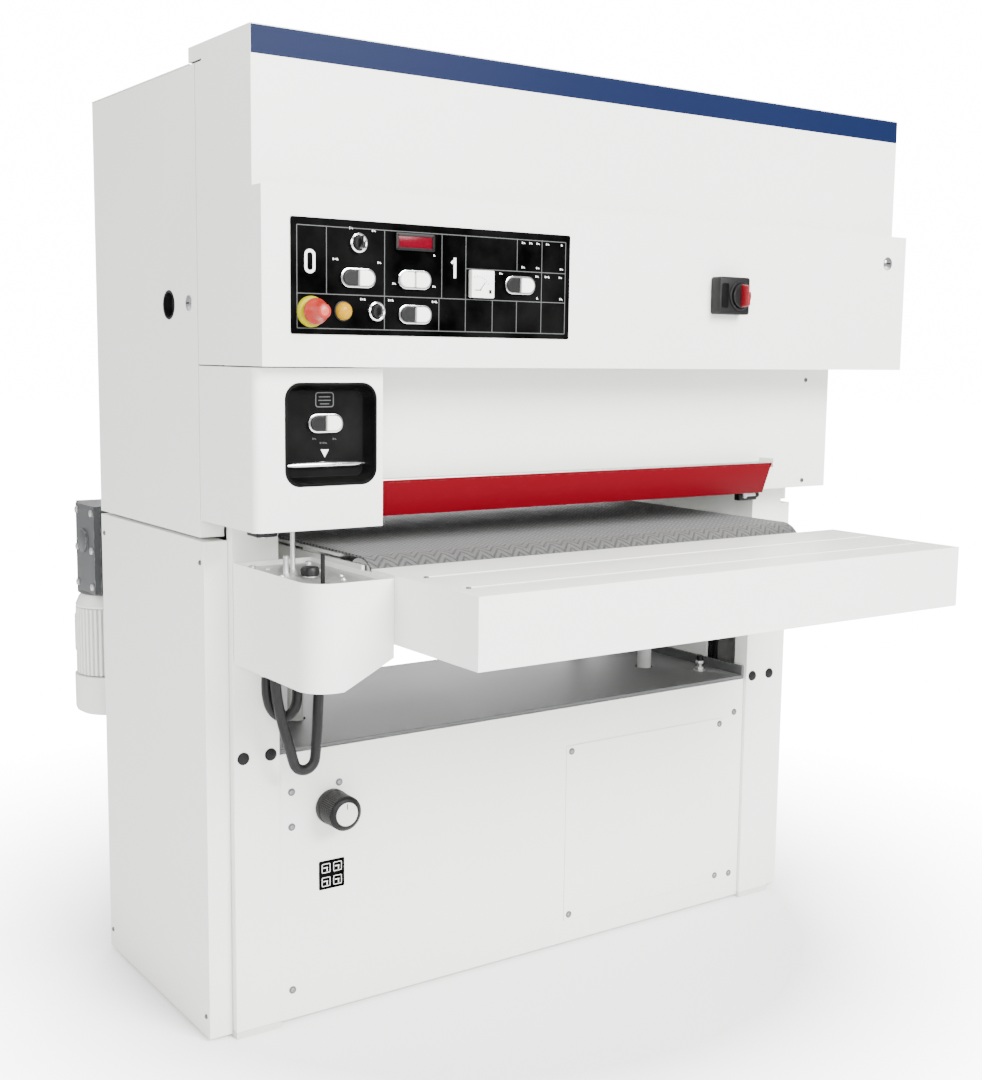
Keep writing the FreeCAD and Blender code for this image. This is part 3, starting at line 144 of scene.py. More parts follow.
def addNode(tree, kind, settings=None, **values):
    # i0, i1 ... are sockets by number, the others by name
    node = tree.nodes.new(kind)
    for key, value in (settings or {}).items():
        setattr(node, key, value)
    for key, value in values.items():
        setSocket(tree, node.inputs[int(key[1:])] if key[1:].isdigit() else node.inputs[key], value)
    return node


def mathNode(tree, operation, first, second, third=None, clamp=False):
    node = addNode(tree, "ShaderNodeMath", {"operation": operation, "use_clamp": clamp}, i0=first, i1=second)
    if third is not None:
        setSocket(tree, node.inputs[2], third)
    return node.outputs[0]


def rangeNode(tree, source, low, high, newLow, newHigh):
    return addNode(tree, "ShaderNodeMapRange", i0=source, i1=low, i2=high, i3=newLow, i4=newHigh).outputs[0]


def noiseNode(tree, where, scale, detail=3.0, roughness=0.5):
    return addNode(tree, "ShaderNodeTexNoise", Vector=where, Scale=scale, Detail=detail,
                   Roughness=roughness).outputs["Fac"]


def rampNode(tree, source, stops):
    node = addNode(tree, "ShaderNodeValToRGB", i0=source)
    ramp = node.color_ramp
    while len(ramp.elements) < len(stops):
        ramp.elements.new(0.5)
    for element, (at, shade) in zip(ramp.elements, stops):
        element.position = at
        element.color = (*shade, 1) if isinstance(shade, tuple) else (shade, shade, shade, 1)
    return node.outputs["Color"]


def makePaintGroup():
    # orange peel height, slow tone drift and fine specks of a sprayed or moulded finish
    group, source, result = nodeGroup("sprayedFinish", [
        ("Vector", "NodeSocketVector", None), ("Peel size", "NodeSocketFloat", 320.0),
        ("Drift size", "NodeSocketFloat", 1.6)], ("Height", "Drift", "Speck"))
    where = source.outputs["Vector"]
    group.links.new(noiseNode(group, where, source.outputs["Peel size"], 2.0), result.inputs["Height"])
    group.links.new(noiseNode(group, where, source.outputs["Drift size"], 4.0), result.inputs["Drift"])
    group.links.new(noiseNode(group, where, 900.0, 1.0), result.inputs["Speck"])
    return group


def makeDustGroup():
    # workshop dust: more near the floor and on faces that look up
    group, source, result = nodeGroup("workshopDust", [
        ("Vector", "NodeSocketVector", None), ("Floor reach", "NodeSocketFloat", 0.25),
        ("Upward", "NodeSocketFloat", 0.35), ("Amount", "NodeSocketFloat", 0.5)], ("Mask",))
    height = addNode(group, "ShaderNodeSeparateXYZ", Vector=source.outputs["Vector"]).outputs["Z"]
    low = rangeNode(group, height, 0.0, source.outputs["Floor reach"], 1.0, 0.0)
    geometry = group.nodes.new("ShaderNodeNewGeometry")
    facing = addNode(group, "ShaderNodeSeparateXYZ", Vector=geometry.outputs["Normal"]).outputs["Z"]
    upward = mathNode(group, "MULTIPLY", rangeNode(group, facing, 0.5, 1.0, 0.0, 1.0), source.outputs["Upward"])
    cloud = noiseNode(group, source.outputs["Vector"], 7.0, 6.0)
    share = mathNode(group, "MULTIPLY", mathNode(group, "MAXIMUM", low, upward), cloud)
    mask = mathNode(group, "MULTIPLY", share, source.outputs["Amount"], clamp=True)
    group.links.new(mask, result.inputs["Mask"])
    return group


def makeWearGroup():
    # edges rubbed by hands and boards, broken up by noise
    group, source, result = nodeGroup("edgeWear", [
        ("Vector", "NodeSocketVector", None), ("Amount", "NodeSocketFloat", 0.5),
        ("Grain", "NodeSocketFloat", 60.0), ("Width", "NodeSocketFloat", 0.0016)], ("Mask",))
    rounded = addNode(group, "ShaderNodeBevel", {"samples": 4}, Radius=source.outputs["Width"])
    geometry = group.nodes.new("ShaderNodeNewGeometry")
    agree = addNode(group, "ShaderNodeVectorMath", {"operation": "DOT_PRODUCT"}, i0=rounded.outputs[0],
                    i1=geometry.outputs["Normal"])
    edge = rangeNode(group, agree.outputs["Value"], 0.985, 0.86, 0.0, 1.0)
    breakUp = noiseNode(group, source.outputs["Vector"], source.outputs["Grain"], 5.0)
    chips = rangeNode(group, breakUp, 0.45, 0.62, 0.0, 1.0)
    mask = mathNode(group, "MULTIPLY", mathNode(group, "MULTIPLY", edge, chips), source.outputs["Amount"],
                    clamp=True)
    group.links.new(mask, result.inputs["Mask"])
    return group


def makeGrainGroup():
    # fine lines left by grinding or drawing, stretched along one axis
    group, source, result = nodeGroup("drawnLines", [
        ("Vector", "NodeSocketVector", None), ("Stretch", "NodeSocketVector", (8.0, 900.0, 900.0))], ("Lines",))
    pulled = addNode(group, "ShaderNodeVectorMath", {"operation": "MULTIPLY"}, i0=source.outputs["Vector"],
                     i1=source.outputs["Stretch"])
    group.links.new(noiseNode(group, pulled.outputs[0], 1.0, 4.0, 0.7), result.inputs["Lines"])
    return group


paintGroup = makePaintGroup()
dustGroup = makeDustGroup()
wearGroup = makeWearGroup()
grainGroup = makeGrainGroup()
dustTone = (0.50, 0.44, 0.36, 1)


def placeGroup(tree, group, **values):
    node = tree.nodes.new("ShaderNodeGroup")
    node.node_tree = group
    for key, value in values.items():
        setSocket(tree, node.inputs[key.replace("_", " ")], value)
    return node


def mixColours(tree, factor, first, second, blend="MIX"):
    node = addNode(tree, "ShaderNodeMix", {"data_type": "RGBA", "blend_type": blend}, i0=factor, i6=first,
                   i7=second)
    return node.outputs[2]


def newMaterial(name, metallic=0.0, coat=0.0, sheen=0.0, specular=0.5):
    material = bpy.data.materials.new(name)
    material.use_nodes = True
    tree = material.node_tree
    shader = tree.nodes["Principled BSDF"]
    shader.inputs["Metallic"].default_value = metallic
    shader.inputs["Coat Weight"].default_value = coat
    shader.inputs["Coat Roughness"].default_value = 0.25
    shader.inputs["Sheen Weight"].default_value = sheen
    shader.inputs["Specular IOR Level"].default_value = specular
    where = tree.nodes.new("ShaderNodeTexCoord").outputs["Object"]
    return material, tree, shader, where


def soiled(tree, shader, where, base, dust, floorReach=0.1, upward=0.3):
    # lays dust over the base colour and hands it to the shader
    soil = placeGroup(tree, dustGroup, Vector=where, Floor_reach=floorReach, Upward=upward, Amount=dust)
    tree.links.new(mixColours(tree, soil.outputs["Mask"], base, dustTone), shader.inputs["Base Color"])


def bumpFrom(tree, shader, height, strength, distance):
    bump = addNode(tree, "ShaderNodeBump", Height=height, Strength=strength, Distance=distance)
    tree.links.new(bump.outputs[0], shader.inputs["Normal"])


def paintMaterial(name, colour, roughness=0.38, peel=0.12, dust=0.5, wear=0.0, coat=0.12, under=(0.45, 0.45, 0.45),
                  floorReach=0.12, upward=0.3, specular=0.5):
    material, tree, shader, where = newMaterial(name, coat=coat, specular=specular)
    finish = placeGroup(tree, paintGroup, Vector=where)
    base = rampNode(tree, finish.outputs["Drift"], [(0.3, tuple(part * 0.95 for part in colour)), (0.7, colour)])
    if wear:
        worn = placeGroup(tree, wearGroup, Vector=where, Amount=wear)
        base = mixColours(tree, worn.outputs["Mask"], base, (*under, 1))
    soiled(tree, shader, where, base, dust, floorReach, upward)
    rough = rangeNode(tree, finish.outputs["Drift"], 0.25, 0.75, roughness - 0.05, roughness + 0.08)
    tree.links.new(rough, shader.inputs["Roughness"])
    bumpFrom(tree, shader, finish.outputs["Height"], peel, 0.0004)
    return material


def plasticMaterial(name, colour, roughness=0.42, coat=0.0, grain=700.0, bump=0.08, dust=0.3, wear=0.0,
                    specular=0.5):
    material, tree, shader, where = newMaterial(name, coat=coat, specular=specular)
    finish = placeGroup(tree, paintGroup, Vector=where, Peel_size=grain, Drift_size=14.0)
    lighter = tuple(min(1.0, part * 1.12 + 0.004) for part in colour)
    base = rampNode(tree, finish.outputs["Drift"], [(0.35, colour), (0.7, lighter)])
    if wear:
        worn = placeGroup(tree, wearGroup, Vector=where, Amount=wear, Width=0.001)
        base = mixColours(tree, worn.outputs["Mask"], base, (*(min(1.0, part * 1.8 + 0.03) for part in colour), 1))
    soiled(tree, shader, where, base, dust, upward=0.25)
    rough = rangeNode(tree, finish.outputs["Speck"], 0.3, 0.7, roughness - 0.06, roughness + 0.08)
    tree.links.new(rough, shader.inputs["Roughness"])
    bumpFrom(tree, shader, finish.outputs["Height"], bump, 0.0002)
    return material


def metalMaterial(name, colour, roughness=0.32, stretch=(8.0, 900.0, 900.0), dust=0.15, bump=0.1):
    material, tree, shader, where = newMaterial(name, metallic=1.0)
    lines = placeGroup(tree, grainGroup, Vector=where, Stretch=stretch).outputs["Lines"]
    base = rampNode(tree, lines, [(0.3, tuple(part * 0.8 for part in colour)), (0.7, colour)])
    soiled(tree, shader, where, base, dust, upward=0.4)
    rough = rangeNode(tree, lines, 0.3, 0.7, roughness - 0.07, roughness + 0.12)
    tree.links.new(rough, shader.inputs["Roughness"])
    bumpFrom(tree, shader, lines, bump, 0.0001)
    return material


beltPattern = {"fold": 0.019, "slope": 0.85, "pitch": 0.0115, "depth": 0.0012}


def beltMaterial():
    # grey rubber with a herringbone of ribs across the feed, with painted shade in the grooves between the ribs
    material, tree, shader, where = newMaterial("feedBeltRubber", sheen=0.15)
    split = addNode(tree, "ShaderNodeSeparateXYZ", Vector=where)
    fold = mathNode(tree, "PINGPONG", split.outputs["X"], beltPattern["fold"])
    slant = mathNode(tree, "MULTIPLY_ADD", fold, beltPattern["slope"], split.outputs["Y"])
    ribs = mathNode(tree, "PINGPONG", slant, beltPattern["pitch"] / 2)
    height = rangeNode(tree, ribs, 0.0, beltPattern["pitch"] / 2, 0.0, 1.0)
    crown = rangeNode(tree, height, 0.25, 0.6, 0.0, 1.0)
    finish = placeGroup(tree, paintGroup, Vector=where, Peel_size=800.0, Drift_size=3.0)
    tone = rampNode(tree, finish.outputs["Drift"], [(0.3, (0.045, 0.045, 0.045)), (0.7, (0.068, 0.069, 0.068))])
    # the grooves between the ribs are painted darker: painted shade in the grooves
    tone = mixColours(tree, 1.0, tone, rampNode(tree, crown, [(0.0, 0.32), (0.8, 1.15)]), "MULTIPLY")
    dusty = rampNode(tree, finish.outputs["Speck"], [(0.45, 0.0), (0.75, 0.4)])
    tree.links.new(mixColours(tree, dusty, tone, (0.20, 0.197, 0.19, 1)), shader.inputs["Base Color"])
    rough = rangeNode(tree, crown, 0.0, 1.0, 0.8, 0.6)
    tree.links.new(rough, shader.inputs["Roughness"])
    bumpFrom(tree, shader, crown, 0.8, beltPattern["depth"])
    return material


def abrasiveMaterial():
    material, tree, shader, where = newMaterial("abrasiveCloth")
    grit = addNode(tree, "ShaderNodeTexVoronoi", Vector=where, Scale=1800.0).outputs["Distance"]
    tone = rampNode(tree, grit, [(0.1, (0.30, 0.13, 0.07)), (0.6, (0.13, 0.05, 0.03))])
    base = mixColours(tree, noiseNode(tree, where, 5.0, 5.0), tone, (0.34, 0.22, 0.15, 1))
    tree.links.new(base, shader.inputs["Base Color"])
    tree.links.new(rangeNode(tree, grit, 0.1, 0.6, 0.75, 0.95), shader.inputs["Roughness"])
    bumpFrom(tree, shader, grit, 0.7, 0.0004)
    return material


def lensMaterial(name, colour, glow=0.0, roughness=0.12, coat=0.1, specular=0.3):
    material, tree, shader, where = newMaterial(name, coat=coat, specular=specular)
    facets = addNode(tree, "ShaderNodeTexVoronoi", Vector=where, Scale=420.0).outputs["Distance"]
    base = rampNode(tree, facets, [(0.1, colour), (0.7, tuple(part * 0.7 for part in colour))])
    tree.links.new(base, shader.inputs["Base Color"])
    tree.links.new(rangeNode(tree, facets, 0.0, 1.0, roughness, roughness + 0.12), shader.inputs["Roughness"])
    if glow:
        tree.links.new(base, shader.inputs["Emission Color"])
        shader.inputs["Emission Strength"].default_value = glow
    bumpFrom(tree, shader, facets, 0.2, 0.0003)
    return material


def floorMaterial():
    # pale near the machine, fading into the backdrop further out
    material, tree, shader, where = newMaterial("studioFloor", specular=0.2)
    tone = studio["floorTone"]
    drift = rampNode(tree, noiseNode(tree, where, 0.8), [(0.3, tone), (0.7, tone + 0.02)])
    tree.links.new(drift, shader.inputs["Base Color"])
    shader.inputs["Roughness"].default_value = 0.8
    away = addNode(tree, "ShaderNodeVectorMath", {"operation": "LENGTH"}, i0=where).outputs["Value"]
    near, far = studio["floorFade"]
    fade = rangeNode(tree, away, near, far, 0.0, studio["backdrop"])
    seen = tree.nodes.new("ShaderNodeLightPath").outputs["Is Camera Ray"]
    shader.inputs["Emission Color"].default_value = (1, 1, 1, 1)
    tree.links.new(mathNode(tree, "MULTIPLY", fade, seen), shader.inputs["Emission Strength"])
    return material


finishes = {
    "cover": paintMaterial("whiteCoverPaint", (0.80, 0.805, 0.775), dust=0.3),
    "frame": paintMaterial("frameEnamel", (0.62, 0.63, 0.61), roughness=0.45, wear=0.3),
    # the shelf's own dark grey paint, made darker still as painted shade for the space under the table
    "shelf": paintMaterial("shelfEnamelAndShade", (0.10, 0.103, 0.103), roughness=0.5, dust=0.1, coat=0.0, wear=0.3,
                           specular=0.2),
    "black": plasticMaterial("blackPlastic", (0.0028, 0.0028, 0.003), wear=0.1, specular=0.2, dust=0.1),
    "tray": plasticMaterial("trayPlastic", (0.0007, 0.00075, 0.0007), roughness=0.45, grain=1500.0, dust=0.02,
                            specular=0.06),
    "panel": plasticMaterial("panelFilm", (0.0005, 0.00055, 0.0005), roughness=0.5, grain=1200.0, dust=0.0,
                             specular=0.0),
    "print": plasticMaterial("greyPrint", (0.055, 0.057, 0.057), roughness=0.55, dust=0.02, specular=0.2),
    "digits": plasticMaterial("whitePrint", (0.72, 0.73, 0.71), roughness=0.5, dust=0.05),
    "white": plasticMaterial("whitePlastic", (0.82, 0.82, 0.79), roughness=0.3, dust=0.05),
    "greyCap": plasticMaterial("greyCapPlastic", (0.62, 0.62, 0.60), roughness=0.35, dust=0.1),
    "red": plasticMaterial("redPlastic", (0.16, 0.001, 0.006), roughness=0.3, coat=0.1, dust=0.05, specular=0.3),
    "coral": plasticMaterial("stopButtonPlastic", (0.25, 0.014, 0.008), roughness=0.32, coat=0.0, dust=0.0,
                             specular=0.2),
    "coralDisc": plasticMaterial("stopButtonDisc", (0.36, 0.06, 0.040), roughness=0.36, coat=0.1, dust=0.02,
                                 specular=0.3),
    "yellow": plasticMaterial("yellowPlastic", (0.33, 0.29, 0.0015), roughness=0.4, dust=0.0, specular=0.08),
    "amber": lensMaterial("amberLens", (0.42, 0.22, 0.003), glow=0.05, coat=0.0, specular=0.12),
    "display": lensMaterial("displayWindow", (0.10, 0.0004, 0.007), glow=0.35, coat=0.0, specular=0.1),
    "barRed": paintMaterial("safetyRed", (0.106, 0.0010, 0.0048), roughness=0.42, wear=0.12, coat=0.0, upward=0.02,
                            specular=0.04, dust=0.03),
    "blue": paintMaterial("blueBand", (0.0016, 0.0060, 0.031), roughness=0.45, dust=0.02, coat=0.0, specular=0.1),
    "belt": beltMaterial(),
    "abrasive": abrasiveMaterial(),
    "rubber": plasticMaterial("rollerRubber", (0.02, 0.02, 0.021), roughness=0.65, grain=300.0, bump=0.25),
    "hose": plasticMaterial("hosePlastic", (0.0028, 0.0028, 0.003), roughness=0.4, specular=0.25, dust=0.05),
    "steel": metalMaterial("groundSteel", (0.58, 0.58, 0.59)),
    "chrome": metalMaterial("chromePlate", (0.80, 0.80, 0.81), roughness=0.12, stretch=(90.0, 90.0, 90.0),
                            dust=0.0, bump=0.02),
    "zinc": metalMaterial("zincPlate", (0.66, 0.67, 0.66), roughness=0.38, stretch=(160.0, 160.0, 160.0)),
    "screwHead": metalMaterial("zincScrew", (0.30, 0.30, 0.30), roughness=0.3, stretch=(400.0, 400.0, 400.0)),
    # dark grey for the rear sheets' inner faces: painted shade for the space under the table
    "insideShade": paintMaterial("rearInsideShade", (0.055, 0.056, 0.055), roughness=0.6, dust=0.1, coat=0.0, specular=0.2),
    "screw": metalMaterial("blackenedScrew", (0.14, 0.14, 0.145), roughness=0.35, stretch=(500.0, 500.0, 500.0)),
    "motor": paintMaterial("motorEnamel", (0.70, 0.705, 0.68), roughness=0.42, peel=0.3, dust=0.3, wear=0.15),
    "gearbox": paintMaterial("gearboxEnamel", (0.035, 0.037, 0.04), roughness=0.45, peel=0.5, wear=0.6, dust=0.3),
    "floor": floorMaterial(),
}
print("materials made")


def finishPiece(name, mesh, body, finish, replaces=(), bevel=0.0, segments=2, angle=32):
    piece = bpy.data.objects.new(name, mesh)
    bpy.context.scene.collection.objects.link(piece)
    for key in (finish if isinstance(finish, (list, tuple)) else [finish]):
        mesh.materials.append(finishes[key])
    for face in mesh.polygons:
        face.use_smooth = True
    mesh.set_sharp_from_angle(angle=math.radians(angle))
    if bevel:
        rounding = piece.modifiers.new("rounding", "BEVEL")
        rounding.width = bevel
        rounding.segments = segments
        rounding.limit_method = "ANGLE"
        rounding.angle_limit = math.radians(angle)
        rounding.harden_normals = True
    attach(piece, body)
    if replaces:
        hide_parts(*replaces)
    return piece


def gather(name, parts):
    # one mesh from finished shapes, each a bmesh or a (bmesh, finish number) pair
    whole = bmesh.new()
    for part in parts:
        bm, finish = part if isinstance(part, tuple) else (part, 0)
        bmesh.ops.recalc_face_normals(bm, faces=bm.faces)
        for face in bm.faces:
            face.material_index = finish
        step = bpy.data.meshes.new("step")
        bm.to_mesh(step)
        bm.free()
        whole.from_mesh(step)
        bpy.data.meshes.remove(step)
    mesh = bpy.data.meshes.new(name)
    whole.to_mesh(mesh)
    whole.free()
    return mesh


def softenedCopy(node, name, finish, bevel=0.0015, segments=3):
    # a copy of a CAD piece with its sharp edges eased
    bm = bmesh.new()
    bm.from_mesh(nodes[node].data)
    bmesh.ops.remove_doubles(bm, verts=bm.verts, dist=0.00001)
    bmesh.ops.dissolve_limit(bm, angle_limit=math.radians(0.6), verts=bm.verts, edges=bm.edges)
    mesh = bpy.data.meshes.new(name)
    bm.to_mesh(mesh)
    bm.free()
    return finishPiece(name, mesh, nodes[node]["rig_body"], finish, replaces=[node], bevel=bevel,
                       segments=segments)


def bevelEdges(bm, edges, width, segments):
    bmesh.ops.bevel(bm, geom=edges, offset=width, segments=segments, profile=0.5, affect="EDGES", material=-1)


def boxShape(low, high, soften=0.0, segments=2):
    bm = bmesh.new()
    low, high = Vector(low), Vector(high)
    bmesh.ops.create_cube(bm, size=1.0)
    bmesh.ops.scale(bm, vec=high - low, verts=bm.verts)
    bmesh.ops.translate(bm, vec=(low + high) / 2, verts=bm.verts)
    if soften:
        bevelEdges(bm, bm.edges[:], soften, segments)
    return bm


def endFaces(bm, axis):
    return [face for face in bm.faces if abs(face.normal[axis]) > 0.99]


def plateShape(low, high, axis, corner, rim=0.0, steps=8):
    # a plate with its four edges along axis rounded by corner, and its faces' rims by rim
    bm = boxShape(low, high)
    along = [edge for edge in bm.edges if abs((edge.verts[0].co - edge.verts[1].co)[axis]) > 0.00001]
    bevelEdges(bm, along, corner, steps)
    bm.normal_update()
    if rim:
        bevelEdges(bm, list({edge for face in endFaces(bm, axis) for edge in face.edges}), rim, 2)
        bm.normal_update()
    return bm


def ringShape(low, high, axis, corner, wall, rim=0.0):
    # the same plate with an opening that leaves a wall all round
    bm = plateShape(low, high, axis, corner, rim)
    ends = endFaces(bm, axis)
    bmesh.ops.inset_individual(bm, faces=ends, thickness=wall, depth=0)
    inner = [edge for face in ends for edge in face.edges]
    bmesh.ops.delete(bm, geom=ends, context="FACES_ONLY")
    bmesh.ops.bridge_loops(bm, edges=inner)
    bm.normal_update()
    return bm


turnTo = {
    "x": Matrix.Rotation(math.radians(90), 4, "Y"),
    "-x": Matrix.Rotation(math.radians(-90), 4, "Y"),
    "y": Matrix.Rotation(math.radians(-90), 4, "X"),
    "-y": Matrix.Rotation(math.radians(90), 4, "X"),
    "z": Matrix.Identity(4),
}


def move(bm, axis, centre):
    bmesh.ops.transform(bm, matrix=Matrix.Translation(centre) @ turnTo[axis], verts=bm.verts)
    return bm


def turnedShape(profile, axis, centre, steps=32):
    # spins a (radius, height) line round an axis that starts at centre
    bm = bmesh.new()
    verts = [bm.verts.new((radius, 0, height)) for radius, height in profile]
    edges = [bm.edges.new(pair) for pair in zip(verts, verts[1:])]
    bmesh.ops.spin(bm, geom=verts + edges, cent=(0, 0, 0), axis=(0, 0, 1), angle=math.tau, steps=steps,
                   use_merge=True, use_duplicate=False)
    bmesh.ops.remove_doubles(bm, verts=bm.verts, dist=0.000002)
    bmesh.ops.dissolve_degenerate(bm, dist=0.000001, edges=bm.edges)
    return move(bm, axis, centre)


def rodShape(radius, length, axis, centre, soften=0.0008, steps=24):
    return turnedShape([(0, 0), (radius - soften, 0), (radius, soften), (radius, length - soften),
                        (radius - soften, length), (0, length)], axis, centre, steps)


def ribbedShape(radius, length, ribs, depth, axis, centre, gap=0.0006):
    # a drum whose side faces stand out as ribs
    bm = bmesh.new()
    bmesh.ops.create_cone(bm, cap_ends=True, segments=ribs, radius1=radius - depth, radius2=radius - depth,
                          depth=length)
    bmesh.ops.translate(bm, vec=(0, 0, length / 2), verts=bm.verts)
    bm.normal_update()
    sides = [face for face in bm.faces if abs(face.normal.z) < 0.5]
    bmesh.ops.inset_individual(bm, faces=sides, thickness=gap, depth=depth)
    return move(bm, axis, centre)


def nutShape(radius, height, axis, centre):
    bm = bmesh.new()
    bmesh.ops.create_cone(bm, cap_ends=True, segments=6, radius1=radius, radius2=radius, depth=height)
    bmesh.ops.translate(bm, vec=(0, 0, height / 2), verts=bm.verts)
    bevelEdges(bm, bm.edges[:], min(radius, height) * 0.1, 2)
    return move(bm, axis, centre)


hoseShape = {
    "diameter": 0.018,
    "lengths": {"small_hose": 0.192, "large_hose": 0.394},
    "routes": {
        "small_hose": (-0.297, [(-0.603, 0.648), (-0.604, 0.630), (-0.602, 0.609), (-0.596, 0.590),
                                (-0.584, 0.577), (-0.570, 0.573), (-0.5565, 0.5785), (-0.548, 0.592),
                                (-0.546, 0.617), (-0.5475, 0.643), (-0.549, 0.664)]),
        "large_hose": (-0.318, [(-0.598, 0.648), (-0.597, 0.632), (-0.5935, 0.604), (-0.585, 0.568),
                                (-0.573, 0.528), (-0.5668, 0.5055), (-0.562, 0.4905), (-0.5505, 0.4825),
                                (-0.5365, 0.4835), (-0.526, 0.493), (-0.5235, 0.5085), (-0.521, 0.538),
                                (-0.519, 0.583), (-0.516, 0.639), (-0.5135, 0.684)]),
    },
}


def makeHose(node):
    y, route = hoseShape["routes"][node]
    curve = bpy.data.curves.new(node, "CURVE")
    curve.dimensions = "3D"
    curve.resolution_u = 12
    line = curve.splines.new("NURBS")
    line.points.add(len(route) - 1)
    for point, (x, z) in zip(line.points, route):
        point.co = (x, y, z, 1)
    line.order_u = 3
    line.use_endpoint_u = True
    curve.bevel_depth = hoseShape["diameter"] / 2
    curve.bevel_resolution = 6
    curve.use_fill_caps = True
    curve.materials.append(finishes["hose"])
    piece = bpy.data.objects.new(node.replace("_hose", "Hose"), curve)
    bpy.context.scene.collection.objects.link(piece)
    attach(piece, "table")
    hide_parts(node)


def makeFloor():
    bm = bmesh.new()
    bmesh.ops.create_grid(bm, x_segments=1, y_segments=1, size=30)
    mesh = gather("floor", [bm])
    mesh.materials.append(finishes["floor"])
    floor = bpy.data.objects.new("floor", mesh)
    bpy.context.scene.collection.objects.link(floor)


# CAD pieces kept in shape, with eased edges: node, piece, finish, slot, easing
easedPieces = (
    ("left_lower_cover", "leftLowerCover", "cover", "white_paint", 0.003),
    ("right_lower_cover", "rightLowerCover", "cover", "white_paint", 0.003),
    ("right_upper_cover", "rightUpperCover", "cover", "white_paint", 0.003),
    ("left_upper_door", "sideDoor", "cover", "white_paint", 0.003),
    ("hood_shell", "hoodShell", "cover", "white_paint", 0.0016),
    ("upper_left_cover", "cornerCover", "cover", "white_paint", 0.0012),
    ("upper_front_panel", "upperFrontPanel", "cover", "white_paint", 0.0012),
    ("cabinet_door", "frontDoor", "cover", "white_paint", 0.0016),
    ("lower_front_panel", "lowerFrontPanel", "cover", "white_paint", 0.0014),
    ("access_cover", "accessCover", "cover", "white_paint", 0.0009),
    ("rear_covers", "rearCovers", "cover", "white_paint", 0.0009),
    ("table_corner_cover", "tableCornerCover", "cover", "white_paint", 0.0009),
    ("infeed_extension", "infeedExtension", "cover", "white_paint", 0.0025),
    ("left_column", "leftColumn", "cover", "white_paint", 0.0015),
    ("right_column", "rightColumn", "cover", "white_paint", 0.0015),
    ("shelf", "shelfPlate", "shelf", "dark_paint", 0.001),
    ("base_frame", "baseFrame", "frame", "frame_paint", 0.0015),
    ("table_frame", "tableFrame", "frame", "frame_paint", 0.001),
    ("head_beam", "headBeam", "frame", "frame_paint", 0.002),
    ("tension_frame", "tensionFrame", "frame", "frame_paint", 0.0015),
    ("gauge_plate", "gaugePlate", "zinc", "zinc_steel", 0.0006),
    ("feed_gearbox", "feedGearbox", "gearbox", "dark_paint", 0.004),
)
nodeFinishes = {
    "feed_belt": "belt", "abrasive_belt": "abrasive", "contact_drum": "rubber", "drive_roller": "rubber",
    "front_roller": "steel", "tension_roller": "steel", "infeed_roller": "rubber", "outfeed_roller": "rubber",
    "motor_pulley": "steel", "main_motor": "motor", "drive_belts": "rubber",
}
blackButtons = ("drum_stop_button", "extraction_stop_button", "feed_stop_button", "pocket_raise_button")


def dressNodes():
    for node, thing in nodes.items():
        finish = nodeFinishes.get(node, "cover")
        if node.endswith("_button"):
            finish = "black" if node in blackButtons else "white"
        thing.data.materials.clear()
        thing.data.materials.append(finishes[finish])
        if node.endswith("_button"):
            softenedCopy(node, node.replace("_button", "Cap"), finish, 0.0022, 4)


def shadeRearInside(piece):
    # the rear sheets' inner faces are painted dark grey: painted shade for the dark space under the table
    piece.data.materials.append(finishes["insideShade"])
    for face in piece.data.polygons:
        if face.normal.y < -0.5:
            face.material_index = 1


blueBand = {"low": 1.617, "gap": 0.0006, "proud": 0.0004}


def makeBand():
    low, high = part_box("hood_shell")
    gap, front = blueBand["gap"], low[1]
    band = plateShape((low[0] + gap, front - blueBand["proud"], blueBand["low"]),
                      (high[0] - gap, front + 0.0005, high[2] - gap * 3), 1, 0.001)
    finishPiece("blueBand", gather("blueBand", [band]), "base", "blue")


panelPrint = {
    "line": 0.0014,
    "proud": 0.0003,
    "uprights": (    # x, low z, high z
        (-0.628, 1.218, 1.371), (-0.578, 1.270, 1.371), (-0.476, 1.218, 1.371), (-0.370, 1.270, 1.371),
        (-0.375, 1.218, 1.270), (-0.324, 1.218, 1.371), (-0.271, 1.218, 1.270), (-0.222, 1.218, 1.270),
        (-0.222, 1.319, 1.371), (-0.171, 1.218, 1.371), (-0.121, 1.218, 1.371)),
    "levels": ((1.218, -0.628, -0.121), (1.270, -0.628, -0.121), (1.319, -0.324, -0.121), (1.371, -0.628, -0.121)),
    "zero": {"centre": (-0.606, 1.318), "wide": 0.0185, "high": 0.036, "wall": 0.0046},
    "one": {"centre": (-0.345, 1.319), "wide": 0.0048, "high": 0.032, "flag": 0.0085},
    "legends": (    # x, z, strokes
        (-0.536, 1.371, 2), (-0.496, 1.369, 2), (-0.563, 1.323, 3), (-0.486, 1.321, 2), (-0.459, 1.290, 2),
        (-0.385, 1.288, 2), (-0.385, 1.337, 1), (-0.515, 1.264, 3), (-0.465, 1.264, 3), (-0.384, 1.264, 3),
        (-0.210, 1.366, 2), (-0.195, 1.366, 2), (-0.180, 1.366, 2), (-0.160, 1.366, 2), (-0.130, 1.366, 1),
        (-0.210, 1.326, 2), (-0.180, 1.326, 2), (-0.130, 1.326, 2), (-0.255, 1.314, 2), (-0.181, 1.312, 2),
        (-0.160, 1.312, 3), (-0.132, 1.312, 2), (-0.180, 1.276, 1), (-0.130, 1.276, 2)),
    "stroke": (0.0016, 0.0032),
}


def printBar(centre, wide, high, front, proud):
    x, z = centre
    return boxShape((x - wide / 2, front - proud, z - high / 2), (x + wide / 2, front + 0.0002, z + high / 2))


